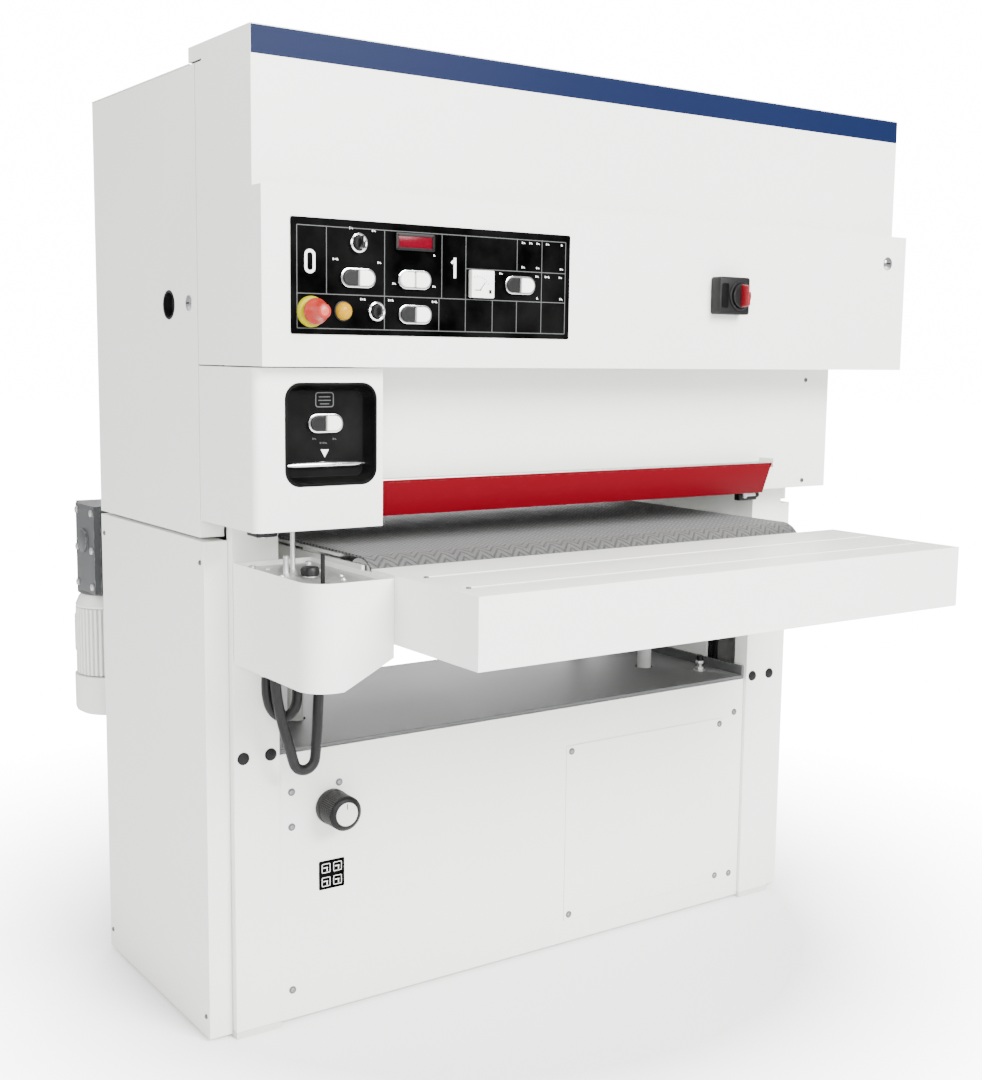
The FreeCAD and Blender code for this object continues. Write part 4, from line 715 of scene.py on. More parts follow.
def legendMark(x, z, strokes, front, proud):
    # a short row of strokes and a dot, standing for a small symbol
    wide, high = panelPrint["stroke"]
    marks = []
    for n in range(strokes):
        at = x + (n - (strokes - 1) / 2) * wide * 2
        marks.append(printBar((at, z), wide, high if n % 2 == 0 else high * 0.6, front, proud))
    marks.append(turnedShape([(0, 0), (wide * 0.45, 0), (wide * 0.45, proud), (0, proud)], "-y",
                             (x + strokes * wide, front, z - high * 0.3), 8))
    return marks


def makePanel():
    low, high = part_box("control_panel")
    plate = plateShape(low, high, 1, 0.003, 0.0006)
    finishPiece("controlPanel", gather("controlPanel", [plate]), "front_door", "panel",
                ["control_panel"])
    front, line, proud = low[1], panelPrint["line"], panelPrint["proud"]
    bars = [printBar((x, (bottom + top) / 2), line, top - bottom, front, proud)
            for x, bottom, top in panelPrint["uprights"]]
    bars += [printBar(((left + right) / 2, z), right - left, line, front, proud * 1.02)
             for z, left, right in panelPrint["levels"]]
    finishPiece("panelGrid", gather("panelGrid", bars), "front_door", "print")
    marks = [mark for x, z, strokes in panelPrint["legends"] for mark in legendMark(x, z, strokes, front, proud)]
    finishPiece("panelLegends", gather("panelLegends", marks), "front_door", "digits")
    makeDigits(front, proud)


def makeDigits(front, proud):
    zero = panelPrint["zero"]
    (x, z), wide, high = zero["centre"], zero["wide"] / 2, zero["high"] / 2
    ring = ringShape((x - wide, front - proud, z - high), (x + wide, front + 0.0002, z + high), 1, wide * 0.96,
                     zero["wall"])
    one = panelPrint["one"]
    (x, z), wide, high = one["centre"], one["wide"], one["high"]
    stem = printBar((x, z), wide, high, front, proud)
    flag = boxShape((x - one["flag"], front - proud * 0.9, -wide * 0.4), (x, front + 0.0001, wide * 0.4))
    bmesh.ops.rotate(flag, cent=(x, front, 0), matrix=Matrix.Rotation(math.radians(-38), 3, "Y"), verts=flag.verts)
    bmesh.ops.translate(flag, vec=(0, 0, z + high / 2 - wide * 0.7), verts=flag.verts)
    finishPiece("panelDigits", gather("panelDigits", [ring, stem, flag]), "front_door", "digits")


buttonPairs = {
    "panel": ("front_door", ("drum_stop_button", "table_raise_button", "extraction_stop_button",
                             "feed_stop_button")),
    "pocket": ("base", ("pocket_raise_button",)),
}
bezel = {"wide": 0.0615, "high": 0.030, "wall": 0.0022, "proud": 0.0055, "pitch": 0.029, "capProud": 0.008}


def makeBezels():
    for name, (body, caps) in buttonPairs.items():
        rings = []
        for cap in caps:
            low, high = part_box(cap)
            face = low[1] + bezel["capProud"]
            x = (low[0] + high[0]) / 2 + bezel["pitch"] / 2
            z = (low[2] + high[2]) / 2
            rings.append(ringShape((x - bezel["wide"] / 2, face - bezel["proud"], z - bezel["high"] / 2),
                                   (x + bezel["wide"] / 2, face + 0.0002, z + bezel["high"] / 2), 1,
                                   bezel["high"] / 2 - 0.0002, bezel["wall"], 0.0009))
        finishPiece(f"{name}Bezels", gather(f"{name}Bezels", rings), body, "chrome")


stopButton = {
    "mushroom": [(0, 0), (0.0085, 0), (0.0100, 0.0006), (0.0112, 0.0020), (0.0118, 0.0060), (0.0130, 0.0140),
                 (0.0160, 0.0205), (0.0192, 0.0240), (0.0200, 0.0265), (0.0200, 0.0292), (0.0190, 0.0305),
                 (0.0120, 0.0310), (0.0120, 0.0600), (0, 0.0600)],
    "disc": [(0, -0.0004), (0.0060, -0.0004), (0.0072, 0.0002), (0.0072, 0.0010), (0, 0.0010)],
    "collar": [(0.0125, -0.0080), (0.0190, -0.0080), (0.0215, -0.0070), (0.0232, -0.0045), (0.0235, 0.0002),
               (0.0125, 0.0002), (0.0125, -0.0080)],
}


def makeStopButton():
    low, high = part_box("emergency_stop")
    x, z = (low[0] + high[0]) / 2, (low[2] + high[2]) / 2
    mushroom = turnedShape(stopButton["mushroom"], "y", (x, low[1], z), 48)
    disc = turnedShape(stopButton["disc"], "y", (x, low[1], z), 32)
    finishPiece("stopMushroom", gather("stopMushroom", [mushroom, (disc, 1)]), "emergency_stop",
                ["coral", "coralDisc"], ["emergency_stop"])
    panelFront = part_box("control_panel")[0][1]
    collar = turnedShape(stopButton["collar"], "y", (x, panelFront, z), 48)
    finishPiece("stopCollar", gather("stopCollar", [collar]), "front_door", "yellow",
                ["panel_instruments"])


instruments = {
    "lamp": {"centre": (-0.550, 1.245),
             "dome": [(0, -0.0135), (0.0050, -0.0130), (0.0095, -0.0112), (0.0125, -0.0080), (0.0138, -0.0040),
                      (0.0140, 0), (0, 0)],
             "base": [(0.0139, -0.0035), (0.0155, -0.0028), (0.0155, 0.0002), (0.0139, 0.0002),
                      (0.0139, -0.0035)]},
    "meter": {"centre": (-0.296, 1.295), "side": 0.044, "deep": 0.010},
    "display": {"centre": (-0.421, 1.3555), "wide": 0.064, "high": 0.019, "deep": 0.004},
    "mains": {"x": (0.218, 0.293), "z": (1.260, 1.328), "deep": 0.025},
}


def makeLamp(front):
    lamp = instruments["lamp"]
    x, z = lamp["centre"]
    dome = turnedShape(lamp["dome"], "y", (x, front, z), 32)
    base = turnedShape(lamp["base"], "y", (x, front, z), 32)
    finishPiece("pilotLamp", gather("pilotLamp", [dome, (base, 1)]), "front_door", ["amber", "black"],
                ["panel_instruments"])


def makeMeter(front):
    meter = instruments["meter"]
    x, z = meter["centre"]
    half, deep = meter["side"] / 2, meter["deep"]
    case = plateShape((x - half, front - deep, z - half), (x + half, front, z + half), 1, 0.002, 0.0006)
    face = front - deep
    needle = boxShape((-0.0006, face - 0.0004, 0), (0.0006, face + 0.0002, 0.016))
    bmesh.ops.rotate(needle, cent=(0, 0, 0), matrix=Matrix.Rotation(math.radians(38), 3, "Y"), verts=needle.verts)
    bmesh.ops.translate(needle, vec=(x - 0.006, 0, z - 0.010), verts=needle.verts)
    tail = printBar((x - 0.010, z - 0.010), 0.012, 0.0014, face, 0.0004)
    square = printBar((x + 0.014, z - 0.012), 0.005, 0.006, face, 0.0004)
    ticks = []
    for n in range(7):
        tick = boxShape((-0.0004, face - 0.0003, 0.0215), (0.0004, face + 0.0002, 0.0240))
        bmesh.ops.rotate(tick, cent=(0, 0, 0), matrix=Matrix.Rotation(math.radians(-18 + n * 13), 3, "Y"),
                         verts=tick.verts)
        bmesh.ops.translate(tick, vec=(x - 0.010, 0, z - 0.011), verts=tick.verts)
        ticks.append((tick, 1))
    finishPiece("ammeter", gather("ammeter", [case, (needle, 1), (tail, 1), (square, 1)] + ticks), "front_door",
                ["white", "black"], ["panel_instruments"])


def makeDisplay(front):
    display = instruments["display"]
    x, z = display["centre"]
    wide, high, deep = display["wide"] / 2, display["high"] / 2, display["deep"]
    frameRing = ringShape((x - wide - 0.004, front - deep, z - high - 0.004),
                          (x + wide + 0.004, front + 0.0002, z + high + 0.004), 1, 0.003, 0.004, 0.0006)
    window = plateShape((x - wide - 0.0002, front - deep * 0.6, z - high - 0.0002),
                        (x + wide + 0.0002, front + 0.0002, z + high + 0.0002), 1, 0.001, 0.0004)
    finishPiece("thicknessDisplay", gather("thicknessDisplay", [(frameRing, 1), window]), "front_door",
                ["display", "black"], ["panel_instruments"])


def makeInstruments():
    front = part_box("control_panel")[0][1]
    makeLamp(front)
    makeMeter(front)
    makeDisplay(front)


mainsHandle = {
    "ring": [(0.0228, 0), (0.0265, 0), (0.0265, 0.0020), (0.0250, 0.0032), (0.0228, 0.0032), (0.0228, 0)],
    "disc": [(0, 0), (0.0220, 0), (0.0220, 0.0070), (0.0205, 0.0084), (0, 0.0084)],
    "grip": (0.0050, 0.021), "gripProud": 0.0255, "plate": 0.025,
}


def makeMainsSwitch():
    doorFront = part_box("cabinet_door")[0][1]
    setup = instruments["mains"]
    (left, right), (bottom, top) = setup["x"], setup["z"]
    case = plateShape((left, doorFront - setup["deep"], bottom), (right, doorFront, top), 1, 0.005, 0.0018)
    low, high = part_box("mains_knob")
    x, z = (low[0] + high[0]) / 2, (low[2] + high[2]) / 2
    face = doorFront - mainsHandle["plate"]
    ring = turnedShape(mainsHandle["ring"], "-y", (x, face, z), 40)
    recess = plateShape((left + 0.005, face - 0.0012, bottom + 0.012), (x - 0.029, face + 0.0002, top - 0.012), 1,
                        0.003, 0.0004)
    finishPiece("mainsHousing", gather("mainsHousing", [case, ring, (recess, 1)]), "front_door",
                ["black", "tray"], ["panel_instruments"])
    disc = turnedShape(mainsHandle["disc"], "-y", (x, face, z), 40)
    wide, high = mainsHandle["grip"]
    grip = boxShape((x - wide, face - mainsHandle["gripProud"], z - high), (x + wide, face - 0.006, z + high))
    front = [vert for vert in grip.verts if vert.co.y < face - 0.02]
    bmesh.ops.scale(grip, vec=(0.62, 1, 0.86), space=Matrix.Translation((-x, 0, -z)), verts=front)
    bevelEdges(grip, grip.edges[:], 0.0022, 3)
    pointer = printBar((x, z + 0.012), 0.0022, 0.010, face - mainsHandle["gripProud"], 0.0003)
    finishPiece("mainsHandle", gather("mainsHandle", [(disc, 2), grip, (pointer, 1)]), "mains_knob",
                ["red", "digits", "black"], ["mains_knob"])


selector = {
    "ring": [(0.0100, 0), (0.0160, 0), (0.0160, 0.0030), (0.0148, 0.0058), (0.0125, 0.0068), (0.0108, 0.0060),
             (0.0100, 0.0040), (0.0100, 0)],
    "turret": [(0, 0.0002), (0.0098, 0.0002), (0.0098, 0.0090), (0.0085, 0.0105), (0, 0.0105)],
    "grip": (0.0032, 0.0105, 0.021),
    "keyBow": (0.0014, 0.0085, 0.0215),
}


def makeSelectors():
    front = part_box("control_panel")[0][1]
    for node, name in (("mode_selector", "mode"), ("key_selector", "key")):
        low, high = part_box(node)
        x, z = (low[0] + high[0]) / 2, (low[2] + high[2]) / 2
        ring = turnedShape(selector["ring"], "-y", (x, front, z), 40)
        finishPiece(f"{name}Ring", gather(f"{name}Ring", [ring]), "front_door", "chrome")
        turret = turnedShape(selector["turret"], "-y", (x, front, z), 32)
        if name == "mode":
            wide, tall, proud = selector["grip"]
            grip = boxShape((x - wide, front - proud, z - tall * 0.8), (x + wide, front - 0.008, z + tall))
            tip = [vert for vert in grip.verts if vert.co.z > z]
            bmesh.ops.scale(grip, vec=(0.45, 1, 1), space=Matrix.Translation((-x, 0, 0)), verts=tip)
            bevelEdges(grip, grip.edges[:], 0.0009, 3)
            line = printBar((x, z + tall * 0.45), 0.0009, tall * 0.7, front - proud, 0.0002)
            parts, look = [turret, grip, (line, 1)], ["black", "digits"]
        else:
            wide, tall, proud = selector["keyBow"]
            bow = plateShape((x - wide / 2, front - proud, z - tall), (x + wide / 2, front - 0.012, z + tall), 0,
                             0.004, 0.0003)
            blade = boxShape((x - wide / 2, front - 0.013, z - 0.004), (x + wide / 2, front - 0.002, z + 0.004),
                             0.0003)
            parts, look = [(turret, 1), bow, blade], ["screw", "black"]
        finishPiece(f"{name}Selector", gather(f"{name}Selector", parts), node, look, [node])


locks = {"body": [(0, 0), (0.0078, 0), (0.0090, 0.0006), (0.0128, 0.0016), (0.0130, 0.0032), (0.0100, 0.0036),
                  (0.0100, 0.0180), (0, 0.0180)],
         "slot": (0.0060, 0.0013)}


def makeLocks():
    for node, name, axis in (("left_door_lock", "sideLock", "x"), ("cabinet_door_lock", "frontLock", "y")):
        low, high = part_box(node)
        middle = [(first + last) / 2 for first, last in zip(low, high)]
        start = list(middle)
        letter = "xyz".index(axis)
        start[letter] = low[letter]
        barrel = turnedShape(locks["body"], axis, start, 32)
        long, thin = locks["slot"]
        reach = [long, long, long]
        reach[letter] = 0.0003
        reach[2] = thin
        slotBar = boxShape([value - size for value, size in zip(start, reach)],
                           [value + size for value, size in zip(start, reach)])
        finishPiece(name, gather(name, [barrel, (slotBar, 1)]), nodes[node]["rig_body"], ["chrome", "black"],
                    [node])


fingerCup = {"centre": (-0.105, 1.258),
             "wall": [(0, 0.0150), (0.0195, 0.0150), (0.0208, 0.0135), (0.0208, -0.0006), (0.0225, -0.0014),
                      (0.0243, -0.0010), (0.0248, 0.0002), (0.0223, 0.0004), (0.0223, 0.0150), (0.0210, 0.0168),
                      (0, 0.0168)]}


def makeFingerCup():
    y, z = fingerCup["centre"]
    cup = turnedShape(fingerCup["wall"], "x", (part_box("left_upper_door")[0][0], y, z), 40)
    finishPiece("fingerCup", gather("fingerCup", [cup]), "side_door", "black")


pocket = {
    "corner": 0.0255, "rim": 0.0035, "wall": 0.0060, "deep": 0.026,
    "icon": (-0.553, 1.108, 0.033, 0.024),
    "arrow": (-0.553, 1.0255, 0.0082),
    "marks": ((-0.572, 1.047, 2), (-0.556, 1.040, 4), (-0.536, 1.046, 2)),
    "ledge": {"z": 1.0060, "inset": 0.0115, "radius": 0.0048},
}


def makePocket():
    low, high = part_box("pocket_bezel")
    tray = plateShape(low, high, 1, pocket["corner"], 0, 10)
    front = [face for face in tray.faces if face.normal.y < -0.9]
    bmesh.ops.inset_region(tray, faces=front, thickness=pocket["rim"], depth=0)
    bmesh.ops.inset_region(tray, faces=front, thickness=0.0012, depth=-0.0030)
    bmesh.ops.inset_region(tray, faces=front, thickness=pocket["wall"], depth=-(pocket["deep"] - 0.0060))
    bmesh.ops.inset_region(tray, faces=front, thickness=0.0020, depth=-0.0030)
    finishPiece("pocketTray", gather("pocketTray", [tray]), "base", "tray", ["pocket_bezel"],
                bevel=0.0008, segments=2)
    floorY = low[1] + pocket["deep"]
    x, z, wide, tall = pocket["icon"]
    ring = ringShape((x - wide / 2, floorY - 0.0005, z - tall / 2), (x + wide / 2, floorY + 0.0002, z + tall / 2),
                     1, 0.005, 0.0018)
    parts = [ring]
    for step, share in ((0.0045, 0.62), (-0.001, 0.68), (-0.0065, 0.5)):
        parts.append(printBar((x, z + step), wide * share, 0.0016, floorY, 0.0004))
    for x, z, strokes in pocket["marks"]:
        parts += legendMark(x, z, strokes, floorY, 0.0004)
    finishPiece("pocketPrint", gather("pocketPrint", parts), "base", "print")
    x, z, radius = pocket["arrow"]
    arrow = turnedShape([(0, 0), (radius, 0), (radius, 0.0006), (0, 0.0006)], "-y", (x, floorY, z), 3)
    bmesh.ops.rotate(arrow, cent=(x, floorY, z), matrix=Matrix.Rotation(math.radians(90), 3, "Y"),
                     verts=arrow.verts)
    finishPiece("pocketArrow", gather("pocketArrow", [arrow]), "base", "digits")
    ledge = pocket["ledge"]
    length = high[0] - low[0] - 2 * ledge["inset"]
    radius = ledge["radius"]
    bar = turnedShape([(0, 0), (radius * 0.45, 0), (radius, length * 0.12), (radius * 1.1, length * 0.5),
                       (radius, length * 0.88), (radius * 0.45, length), (0, length)], "x",
                      (low[0] + ledge["inset"], floorY - radius, ledge["z"]), 24)
    finishPiece("pocketLedge", gather("pocketLedge", [bar]), "base", "chrome")


speedKnob = {
    "flange": [(0, 0.0440), (0.0300, 0.0440), (0.0316, 0.0450), (0.0320, 0.0475), (0.0320, 0.0560),
               (0.0300, 0.0580), (0.0050, 0.0580), (0.0050, 0.0700), (0, 0.0700)],
    "skirt": (0.0310, 0.0400, 54, 0.0014),
    "nose": [(0, 0), (0.0225, 0), (0.0262, 0.0012), (0.0290, 0.0042), (0.0292, 0.0062), (0, 0.0062)],
    "cap": [(0, -0.0010), (0.0190, -0.0008), (0.0214, 0.0002), (0.0214, 0.0012), (0, 0.0012)],
}


def makeSpeedKnob():
    low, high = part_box("feed_speed_knob")
    centre = ((low[0] + high[0]) / 2, low[1], (low[2] + high[2]) / 2)
    flange = turnedShape(speedKnob["flange"], "y", centre, 48)
    radius, length, ribs, depth = speedKnob["skirt"]
    skirt = ribbedShape(radius, length, ribs, depth, "y", (centre[0], centre[1] + 0.005, centre[2]))
    nose = turnedShape(speedKnob["nose"], "y", centre, 48)
    cap = turnedShape(speedKnob["cap"], "y", centre, 48)
    line = printBar((centre[0], centre[2] + 0.014), 0.0016, 0.010, centre[1] - 0.0008, 0.0004)
    finishPiece("speedKnob", gather("speedKnob", [flange, skirt, nose, (cap, 1), line]), "feed_speed_knob",
                ["black", "greyCap"], ["feed_speed_knob"])


screwShape = {
    "head": [(0, 0.0012), (0.0017, 0.0012), (0.0021, 0.0024), (0.0032, 0.0023), (0.0041, 0.0016), (0.0045, 0.0006),
             (0.0045, 0), (0, 0)],
    "shadedWasher": [(0.0040, 0), (0.0068, 0), (0.0068, 0.0009), (0.0040, 0.0009), (0.0040, 0)],
}
facesY = {"panel": -0.242, "access": -0.244, "upperPanel": -0.330, "column": -0.250, "rearCover": 0.242}
frontScrews = ((-0.531, 0.422), (-0.531, 0.359), (-0.437, 0.425), (0.531, 0.422), (0.531, 0.060), (-0.531, 0.060))
accessScrews = ((0.086, 0.064), (0.487, 0.064), (0.086, 0.402), (0.487, 0.402))
sideScrews = ((-0.220, 0.834), (0.232, 0.834), (-0.220, 0.042), (0.232, 0.042))
upperScrews = ((0.617, 0.928), (0.617, 1.137))
rearScrews = {"x": (-0.52, -0.26, 0.0, 0.26, 0.52), "z": (0.06, 0.44, 1.07, 1.55)}
columnCaps = ((-0.625, 0.498), (-0.574, 0.498), (0.574, 0.498), (0.625, 0.498))
capShape = [(0, 0.0042), (0.0060, 0.0040), (0.0095, 0.0028), (0.0110, 0.0008), (0.0110, 0), (0, 0)]


def screwParts(axis, place):
    return [turnedShape(screwShape["head"], axis, place, 18)]


def makeScrews():
    silver = []
    for places, y in ((frontScrews, facesY["panel"]), (accessScrews, facesY["access"])):
        for x, z in places:
            silver += screwParts("-y", (x, y, z))
            # the washer ring takes the dark screw finish: a washer, and painted shade for the dark outline round
            # each head
            silver.append((turnedShape(screwShape["shadedWasher"], "-y", (x, y, z), 20), 1))
    finishPiece("frontScrews", gather("frontScrews", silver), "base", ["screwHead", "screw"],
                ["screws_and_caps"])
    left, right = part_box("left_lower_cover")[0][0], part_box("right_lower_cover")[1][0]
    dark = [part for y, z in sideScrews for part in screwParts("-x", (left, y, z))]
    dark += [part for y, z in sideScrews for part in screwParts("x", (right, y, z))]
    dark += [part for x, z in upperScrews for part in screwParts("-y", (x, facesY["upperPanel"], z))]
    finishPiece("coverScrews", gather("coverScrews", dark), "base", "screw", ["screws_and_caps"])
    caps = [turnedShape(capShape, "-y", (x, facesY["column"], z), 28) for x, z in columnCaps]
    finishPiece("columnCaps", gather("columnCaps", caps), "base", "black", ["screws_and_caps"])
    rear = [part for x in rearScrews["x"] for z in rearScrews["z"]
            for part in screwParts("y", (x, facesY["rearCover"], z))]
    finishPiece("rearScrews", gather("rearScrews", rear), "base", "screw")


markPlate = {"x": (-0.478, -0.427), "z": (0.232, 0.285), "thick": 0.001, "mark": 0.017}


def makeMarkPlate():
    (left, right), (bottom, top), face = markPlate["x"], markPlate["z"], facesY["panel"]
    plate = plateShape((left, face - markPlate["thick"], bottom), (right, face, top), 1, 0.002, 0.0003)
    front = face - markPlate["thick"]
    parts = [plate]
    for x in (left + 0.014, right - 0.014):
        for z in (bottom + 0.014, top - 0.014):
            half = markPlate["mark"] / 2
            parts.append((ringShape((x - half, front - 0.0003, z - half), (x + half, front + 0.0002, z + half),
                                    1, 0.002, 0.0011), 1))
            parts.append((printBar((x - 0.001, z + 0.001), 0.009, 0.0016, front, 0.0003), 1))
            parts.append((printBar((x + 0.002, z - 0.003), 0.0016, 0.006, front, 0.0003), 1))
    finishPiece("markPlate", gather("markPlate", parts), "base", ["panel", "digits"],
                ["screws_and_caps"])


studShape = {"place": (0.508, -0.155), "thread": (0.0052, 0.0300), "nuts": ((0.0098, 0.0065, 0.0012),
             (0.0098, 0.0060, 0.0150)), "cap": (0.0075, 0.0120, 0.0220)}


def makeStud():
    x, y = studShape["place"]
    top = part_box("shelf")[1][2] - 0.020
    radius, length = studShape["thread"]
    parts = [(rodShape(radius, length, "z", (x, y, top), 0.0006), 1),
             (turnedShape([(0, 0), (0.0135, 0), (0.0135, 0.0014), (0, 0.0014)], "z", (x, y, top), 28), 1)]
    parts += [(nutShape(wide, tall, "z", (x, y, top + at)), 1) for wide, tall, at in studShape["nuts"]]
    wide, tall, at = studShape["cap"]
    parts.append(rodShape(wide, tall, "z", (x, y, top + at), 0.002))
    finishPiece("shelfStop", gather("shelfStop", parts), "base", ["black", "zinc"],
                ["screws_and_caps"])


gaugeParts = {
    "knob": (-0.575, -0.399, [(0, 0.0030), (0.0110, 0.0030), (0.0150, 0.0060), (0.0152, 0.0140), (0.0130, 0.0180),
                              (0, 0.0190)]),
    "rod": (-0.606, -0.500, 0.0034, 0.0520),
    "pins": ((-0.560, -0.309, 0.0042, 0.1205), (-0.588, -0.340, 0.0050, 0.0280)),
    "screws": ((-0.545, -0.455), (-0.530, -0.420), (-0.535, -0.360), (-0.615, -0.380), (-0.600, -0.300)),
}


def makeGaugeParts():
    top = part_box("gauge_plate")[0][2] + 0.003
    x, y, profile = gaugeParts["knob"]
    knob = turnedShape(profile, "z", (x, y, top - 0.003), 32)
    x, y, radius, length = gaugeParts["rod"]
    rod = rodShape(radius, length, "z", (x, y, top))
    finishPiece("gaugeKnob", gather("gaugeKnob", [knob, rod]), "table", "black")
    parts = [rodShape(radius, length, "z", (x, y, top - 0.001), 0.001)
             for x, y, radius, length in gaugeParts["pins"]]
    parts += [part for x, y in gaugeParts["screws"] for part in screwParts("z", (x, y, top))]
    finishPiece("gaugePins", gather("gaugePins", parts), "table", "zinc")


limitSwitch = {"low": (-0.641, -0.345, 0.8865), "high": (-0.604, -0.305, 0.9055), "head": (-0.623, -0.325, 0.8865)}


def makeLimitSwitch():
    body = boxShape(limitSwitch["low"], limitSwitch["high"], 0.0025, 3)
    x, y, z = limitSwitch["head"]
    neck = rodShape(0.009, 0.004, "z", (x, y, z - 0.0035), 0.0008)
    gland = turnedShape([(0, 0), (0.0085, 0), (0.0085, 0.006), (0.0060, 0.009), (0.0060, 0.016), (0, 0.016)], "x",
                        (limitSwitch["high"][0] - 0.0005, y, z + 0.0095), 16)
    finishPiece("limitSwitch", gather("limitSwitch", [body, (neck, 1), gland]), "base", ["black", "zinc"])


stripScrews = {"x": -0.4655, "y": (-0.573, -0.690)}


def makeStripScrews():
    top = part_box("infeed_extension")[1][2]
    parts = [part for y in stripScrews["y"] for part in screwParts("z", (stripScrews["x"], y, top - 0.0006))]
    finishPiece("stripScrews", gather("stripScrews", parts), "table", "screw")


gearboxBolts = {
    "y": (0.306, 0.390), "z": (0.718, 0.790, 0.864), "radius": 0.0075, "tall": 0.0045,
    "cover": [(0, 0.0060), (0.0180, 0.0060), (0.0230, 0.0045), (0.0240, 0), (0, 0)],
}


def makeGearboxParts():
    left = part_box("feed_gearbox")[0][0]
    bolts = [nutShape(gearboxBolts["radius"], gearboxBolts["tall"], "-x", (left + 0.0005, y, z))
             for y in gearboxBolts["y"] for z in gearboxBolts["z"]]
    finishPiece("gearboxBolts", gather("gearboxBolts", bolts), "table", "zinc")
    cover = turnedShape(gearboxBolts["cover"], "-x", (left + 0.0005, 0.355, 0.806), 32)
    finishPiece("gearboxCover", gather("gearboxCover", [cover]), "table", "gearbox")


feedMotor = {
    "cowl": [(0, 0), (0.0500, 0), (0.0600, 0.0020), (0.0680, 0.0070), (0.0705, 0.0140), (0.0710, 0.0800),
             (0.0700, 0.0812), (0.0640, 0.0812), (0, 0.0812)],
    "fins": (0.0672, 0.138, 44, 0.0078),
    "shoulder": [(0.0, 0), (0.0660, 0), (0.0670, 0.0040), (0.0610, 0.0180), (0.0560, 0.0260), (0.0, 0.0265)],
    "box": ((-0.045, 0.055, 0.560), (0.045, 0.088, 0.640)),
    "slots": 10,
}


def makeFeedMotor():
    low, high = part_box("feed_motor")
    x, y = (low[0] + high[0]) / 2, (low[1] + high[1]) / 2
    cowl = turnedShape(feedMotor["cowl"], "z", (x, y, low[2]), 48)
    radius, length, ribs, depth = feedMotor["fins"]
    fins = ribbedShape(radius, length, ribs, depth, "z", (x, y, low[2] + 0.0820), 0.0026)
    shoulder = turnedShape(feedMotor["shoulder"], "z", (x, y, low[2] + 0.2200), 48)
    corner, far = feedMotor["box"]
    terminal = boxShape((x + corner[0], y + corner[1], corner[2]), (x + far[0], y + far[1], far[2]), 0.004, 3)
    gland = turnedShape([(0, 0), (0.011, 0), (0.011, 0.007), (0.008, 0.011), (0.008, 0.014), (0, 0.014)], "x",
                        (x + far[0] - 0.0005, y + 0.072, 0.600), 20)
    vents = []
    for n in range(feedMotor["slots"]):
        slotBar = boxShape((0.018, -0.0018, -0.0004), (0.052, 0.0018, 0.0006))
        bmesh.ops.rotate(slotBar, cent=(0, 0, 0),
                         matrix=Matrix.Rotation(n * math.tau / feedMotor["slots"], 3, "Z"), verts=slotBar.verts)
        bmesh.ops.translate(slotBar, vec=(x, y, low[2]), verts=slotBar.verts)
        vents.append((slotBar, 1))
    finishPiece("feedMotor", gather("feedMotor", [cowl, fins, shoulder, terminal, (gland, 1)] + vents), "table",
                ["motor", "black"], ["feed_motor"])


safetyBar = {"lean": 0.014, "slant": 0.010, "thick": 0.0035, "fold": 0.012, "pin": 0.004}


def makeSafetyBar():
    low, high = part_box("safety_bar")
    left, right = low[0] + 0.004, high[0] - 0.005
    bottom, top, front = low[2], high[2] - 0.004, low[1]
    plate = boxShape((left, front, bottom), (right, front + safetyBar["thick"], top))
    under = [vert for vert in plate.verts if vert.co.z < bottom + 0.001]
    bmesh.ops.translate(plate, vec=(0, safetyBar["lean"], 0), verts=under)
    corner = [vert for vert in under if vert.co.x > right - 0.001]
    bmesh.ops.translate(plate, vec=(-safetyBar["slant"], 0, 0), verts=corner)
    bevelEdges(plate, plate.edges[:], 0.0008, 2)
    fold = boxShape((left, front + 0.0005, top - 0.0035), (right, front + safetyBar["fold"], top), 0.0006)
    pin = rodShape(safetyBar["pin"], high[0] - low[0], "x", (low[0], -0.360, 0.971), 0.0005)
    finishPiece("safetyBar", gather("safetyBar", [plate, fold, (pin, 1)]), "safety_bar", ["barRed", "zinc"],
                ["safety_bar"])


def makeSafetySwitch():
    low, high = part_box("safety_switch")
    body = boxShape(low, (high[0], high[1], 0.905), 0.003, 3)
    bracket = boxShape((0.512, high[1] - 0.014, 0.9045), (0.540, high[1] - 0.002, high[2]), 0.001)
    roller = rodShape(0.0065, 0.006, "-y", (low[0] + 0.014, low[1] + 0.0005, low[2] + 0.012), 0.001)
    lever = boxShape((low[0] + 0.010, low[1] - 0.003, low[2] + 0.009), (low[0] + 0.045, low[1] + 0.0005,
                     low[2] + 0.015), 0.0006)
    gland = turnedShape([(0, 0), (0.0075, 0), (0.0075, 0.005), (0.0055, 0.009), (0, 0.009)], "x",
                        (high[0] - 0.0005, (low[1] + high[1]) / 2, low[2] + 0.0105), 16)
    parts = [body, (bracket, 1), (roller, 1), (lever, 1), gland]
    finishPiece("safetySwitch", gather("safetySwitch", parts), "base", ["black", "zinc"],
                ["safety_switch"])


cabinetGear = {"back": -0.2503, "contactors": (7, -0.480, 0.062, 0.046, 1.300, 1.380, 0.090),
               "inverter": ((0.060, 1.240), (0.210, 1.520), 0.130),
               "transformer": ((0.290, 1.260), (0.400, 1.360), 0.110),
               "rail": ((-0.500, 1.210), (0.0, 1.255), 0.045), "plate": ((-0.600, 1.190), (0.600, 1.580))}


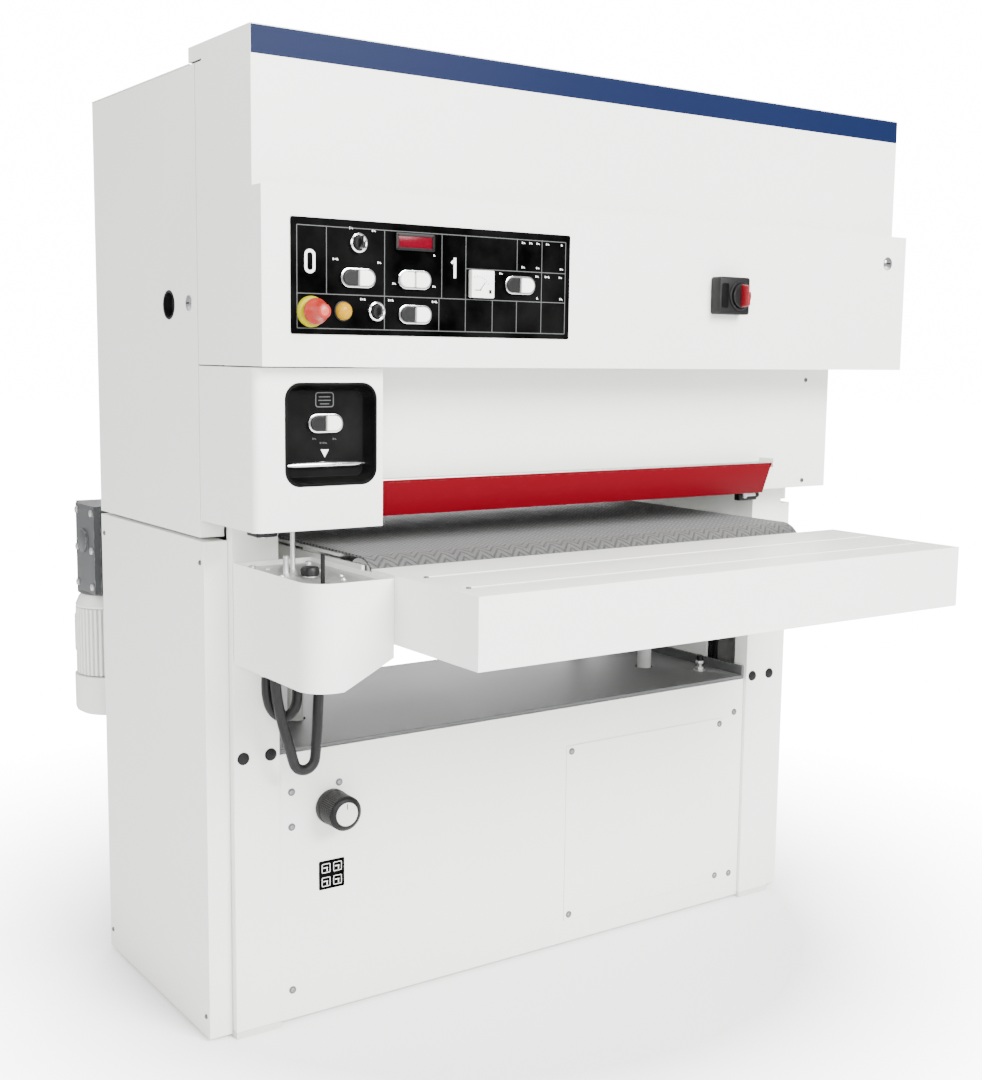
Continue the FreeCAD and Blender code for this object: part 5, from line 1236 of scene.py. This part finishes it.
def makeCabinetGear():
    back = cabinetGear["back"]
    (left, bottom), (right, top) = cabinetGear["plate"]
    plate = boxShape((left, back - 0.003, bottom), (right, back, top), 0.0008)
    finishPiece("mountingPlate", gather("mountingPlate", [plate]), "base", "zinc",
                ["electrical_plate"])
    count, start, pitch, wide, bottom, top, deep = cabinetGear["contactors"]
    parts = []
    for n in range(count):
        x = start + n * pitch
        parts.append(boxShape((x, back - deep * 0.72, bottom), (x + wide, back - 0.003, top), 0.002))
        parts.append(boxShape((x + 0.004, back - deep, bottom + 0.016), (x + wide - 0.004, back - deep * 0.7,
                              top - 0.016), 0.003))
        for step in range(3):
            for z in (bottom + 0.006, top - 0.006):
                place = (x + 0.009 + step * 0.014, back - deep * 0.72, z)
                parts.append((turnedShape(screwShape["head"], "-y", place, 10), 1))
    (left, bottom), (right, top), deep = cabinetGear["rail"]
    for n in range(30):
        x = left + n * (right - left) / 30
        parts.append((boxShape((x, back - deep, bottom), (x + 0.0150, back - 0.003, top), 0.0012), 2))
    finishPiece("contactors", gather("contactors", parts), "base", ["black", "zinc", "greyCap"],
                ["electrical_plate"])
    (left, bottom), (right, top), deep = cabinetGear["inverter"]
    drive = [boxShape((left, back - deep, bottom), (right, back - 0.003, top), 0.004, 3)]
    for n in range(9):
        z = top - 0.030 - n * 0.010
        drive.append((boxShape((left + 0.02, back - deep - 0.0004, z),
                               (right - 0.02, back - deep + 0.001, z + 0.004), 0.0003), 1))
    finishPiece("inverter", gather("inverter", drive), "base", ["greyCap", "black"],
                ["electrical_plate"])
    (left, bottom), (right, top), deep = cabinetGear["transformer"]
    core = []
    for n in range(11):
        z = bottom + 0.02 + n * 0.0055
        core.append((boxShape((left, back - deep, z), (right, back - 0.003, z + 0.0045), 0.0006), 1))
    coil = boxShape((left + 0.02, back - deep + 0.012, bottom), (right - 0.02, back - 0.012, top), 0.008, 4)
    finishPiece("transformer", gather("transformer", core + [coil]), "base", ["abrasive", "screw"],
                ["electrical_plate"])


makeCamera()
makeLights()
makeFloor()
for hoseNode in hoseShape["routes"]:
    makeHose(hoseNode)
print("camera, floor and hoses made")
dressNodes()
for node, name, finish, slotName, easing in easedPieces:
    cover = softenedCopy(node, name, finish, easing)
    if node == "rear_covers":
        # the inner faces of the rear covers get painted shade
        shadeRearInside(cover)
makeBand()
print("covers and frame made")
makePanel()
makeBezels()
makeStopButton()
makeInstruments()
makeMainsSwitch()
makeSelectors()
makePocket()
makeLocks()
makeFingerCup()
makeSpeedKnob()
print("controls made")
makeScrews()
makeMarkPlate()
makeStud()
makeGaugeParts()
makeLimitSwitch()
makeStripScrews()
makeGearboxParts()
makeFeedMotor()
makeSafetyBar()
makeSafetySwitch()
makeCabinetGear()
print("fittings and drives made")
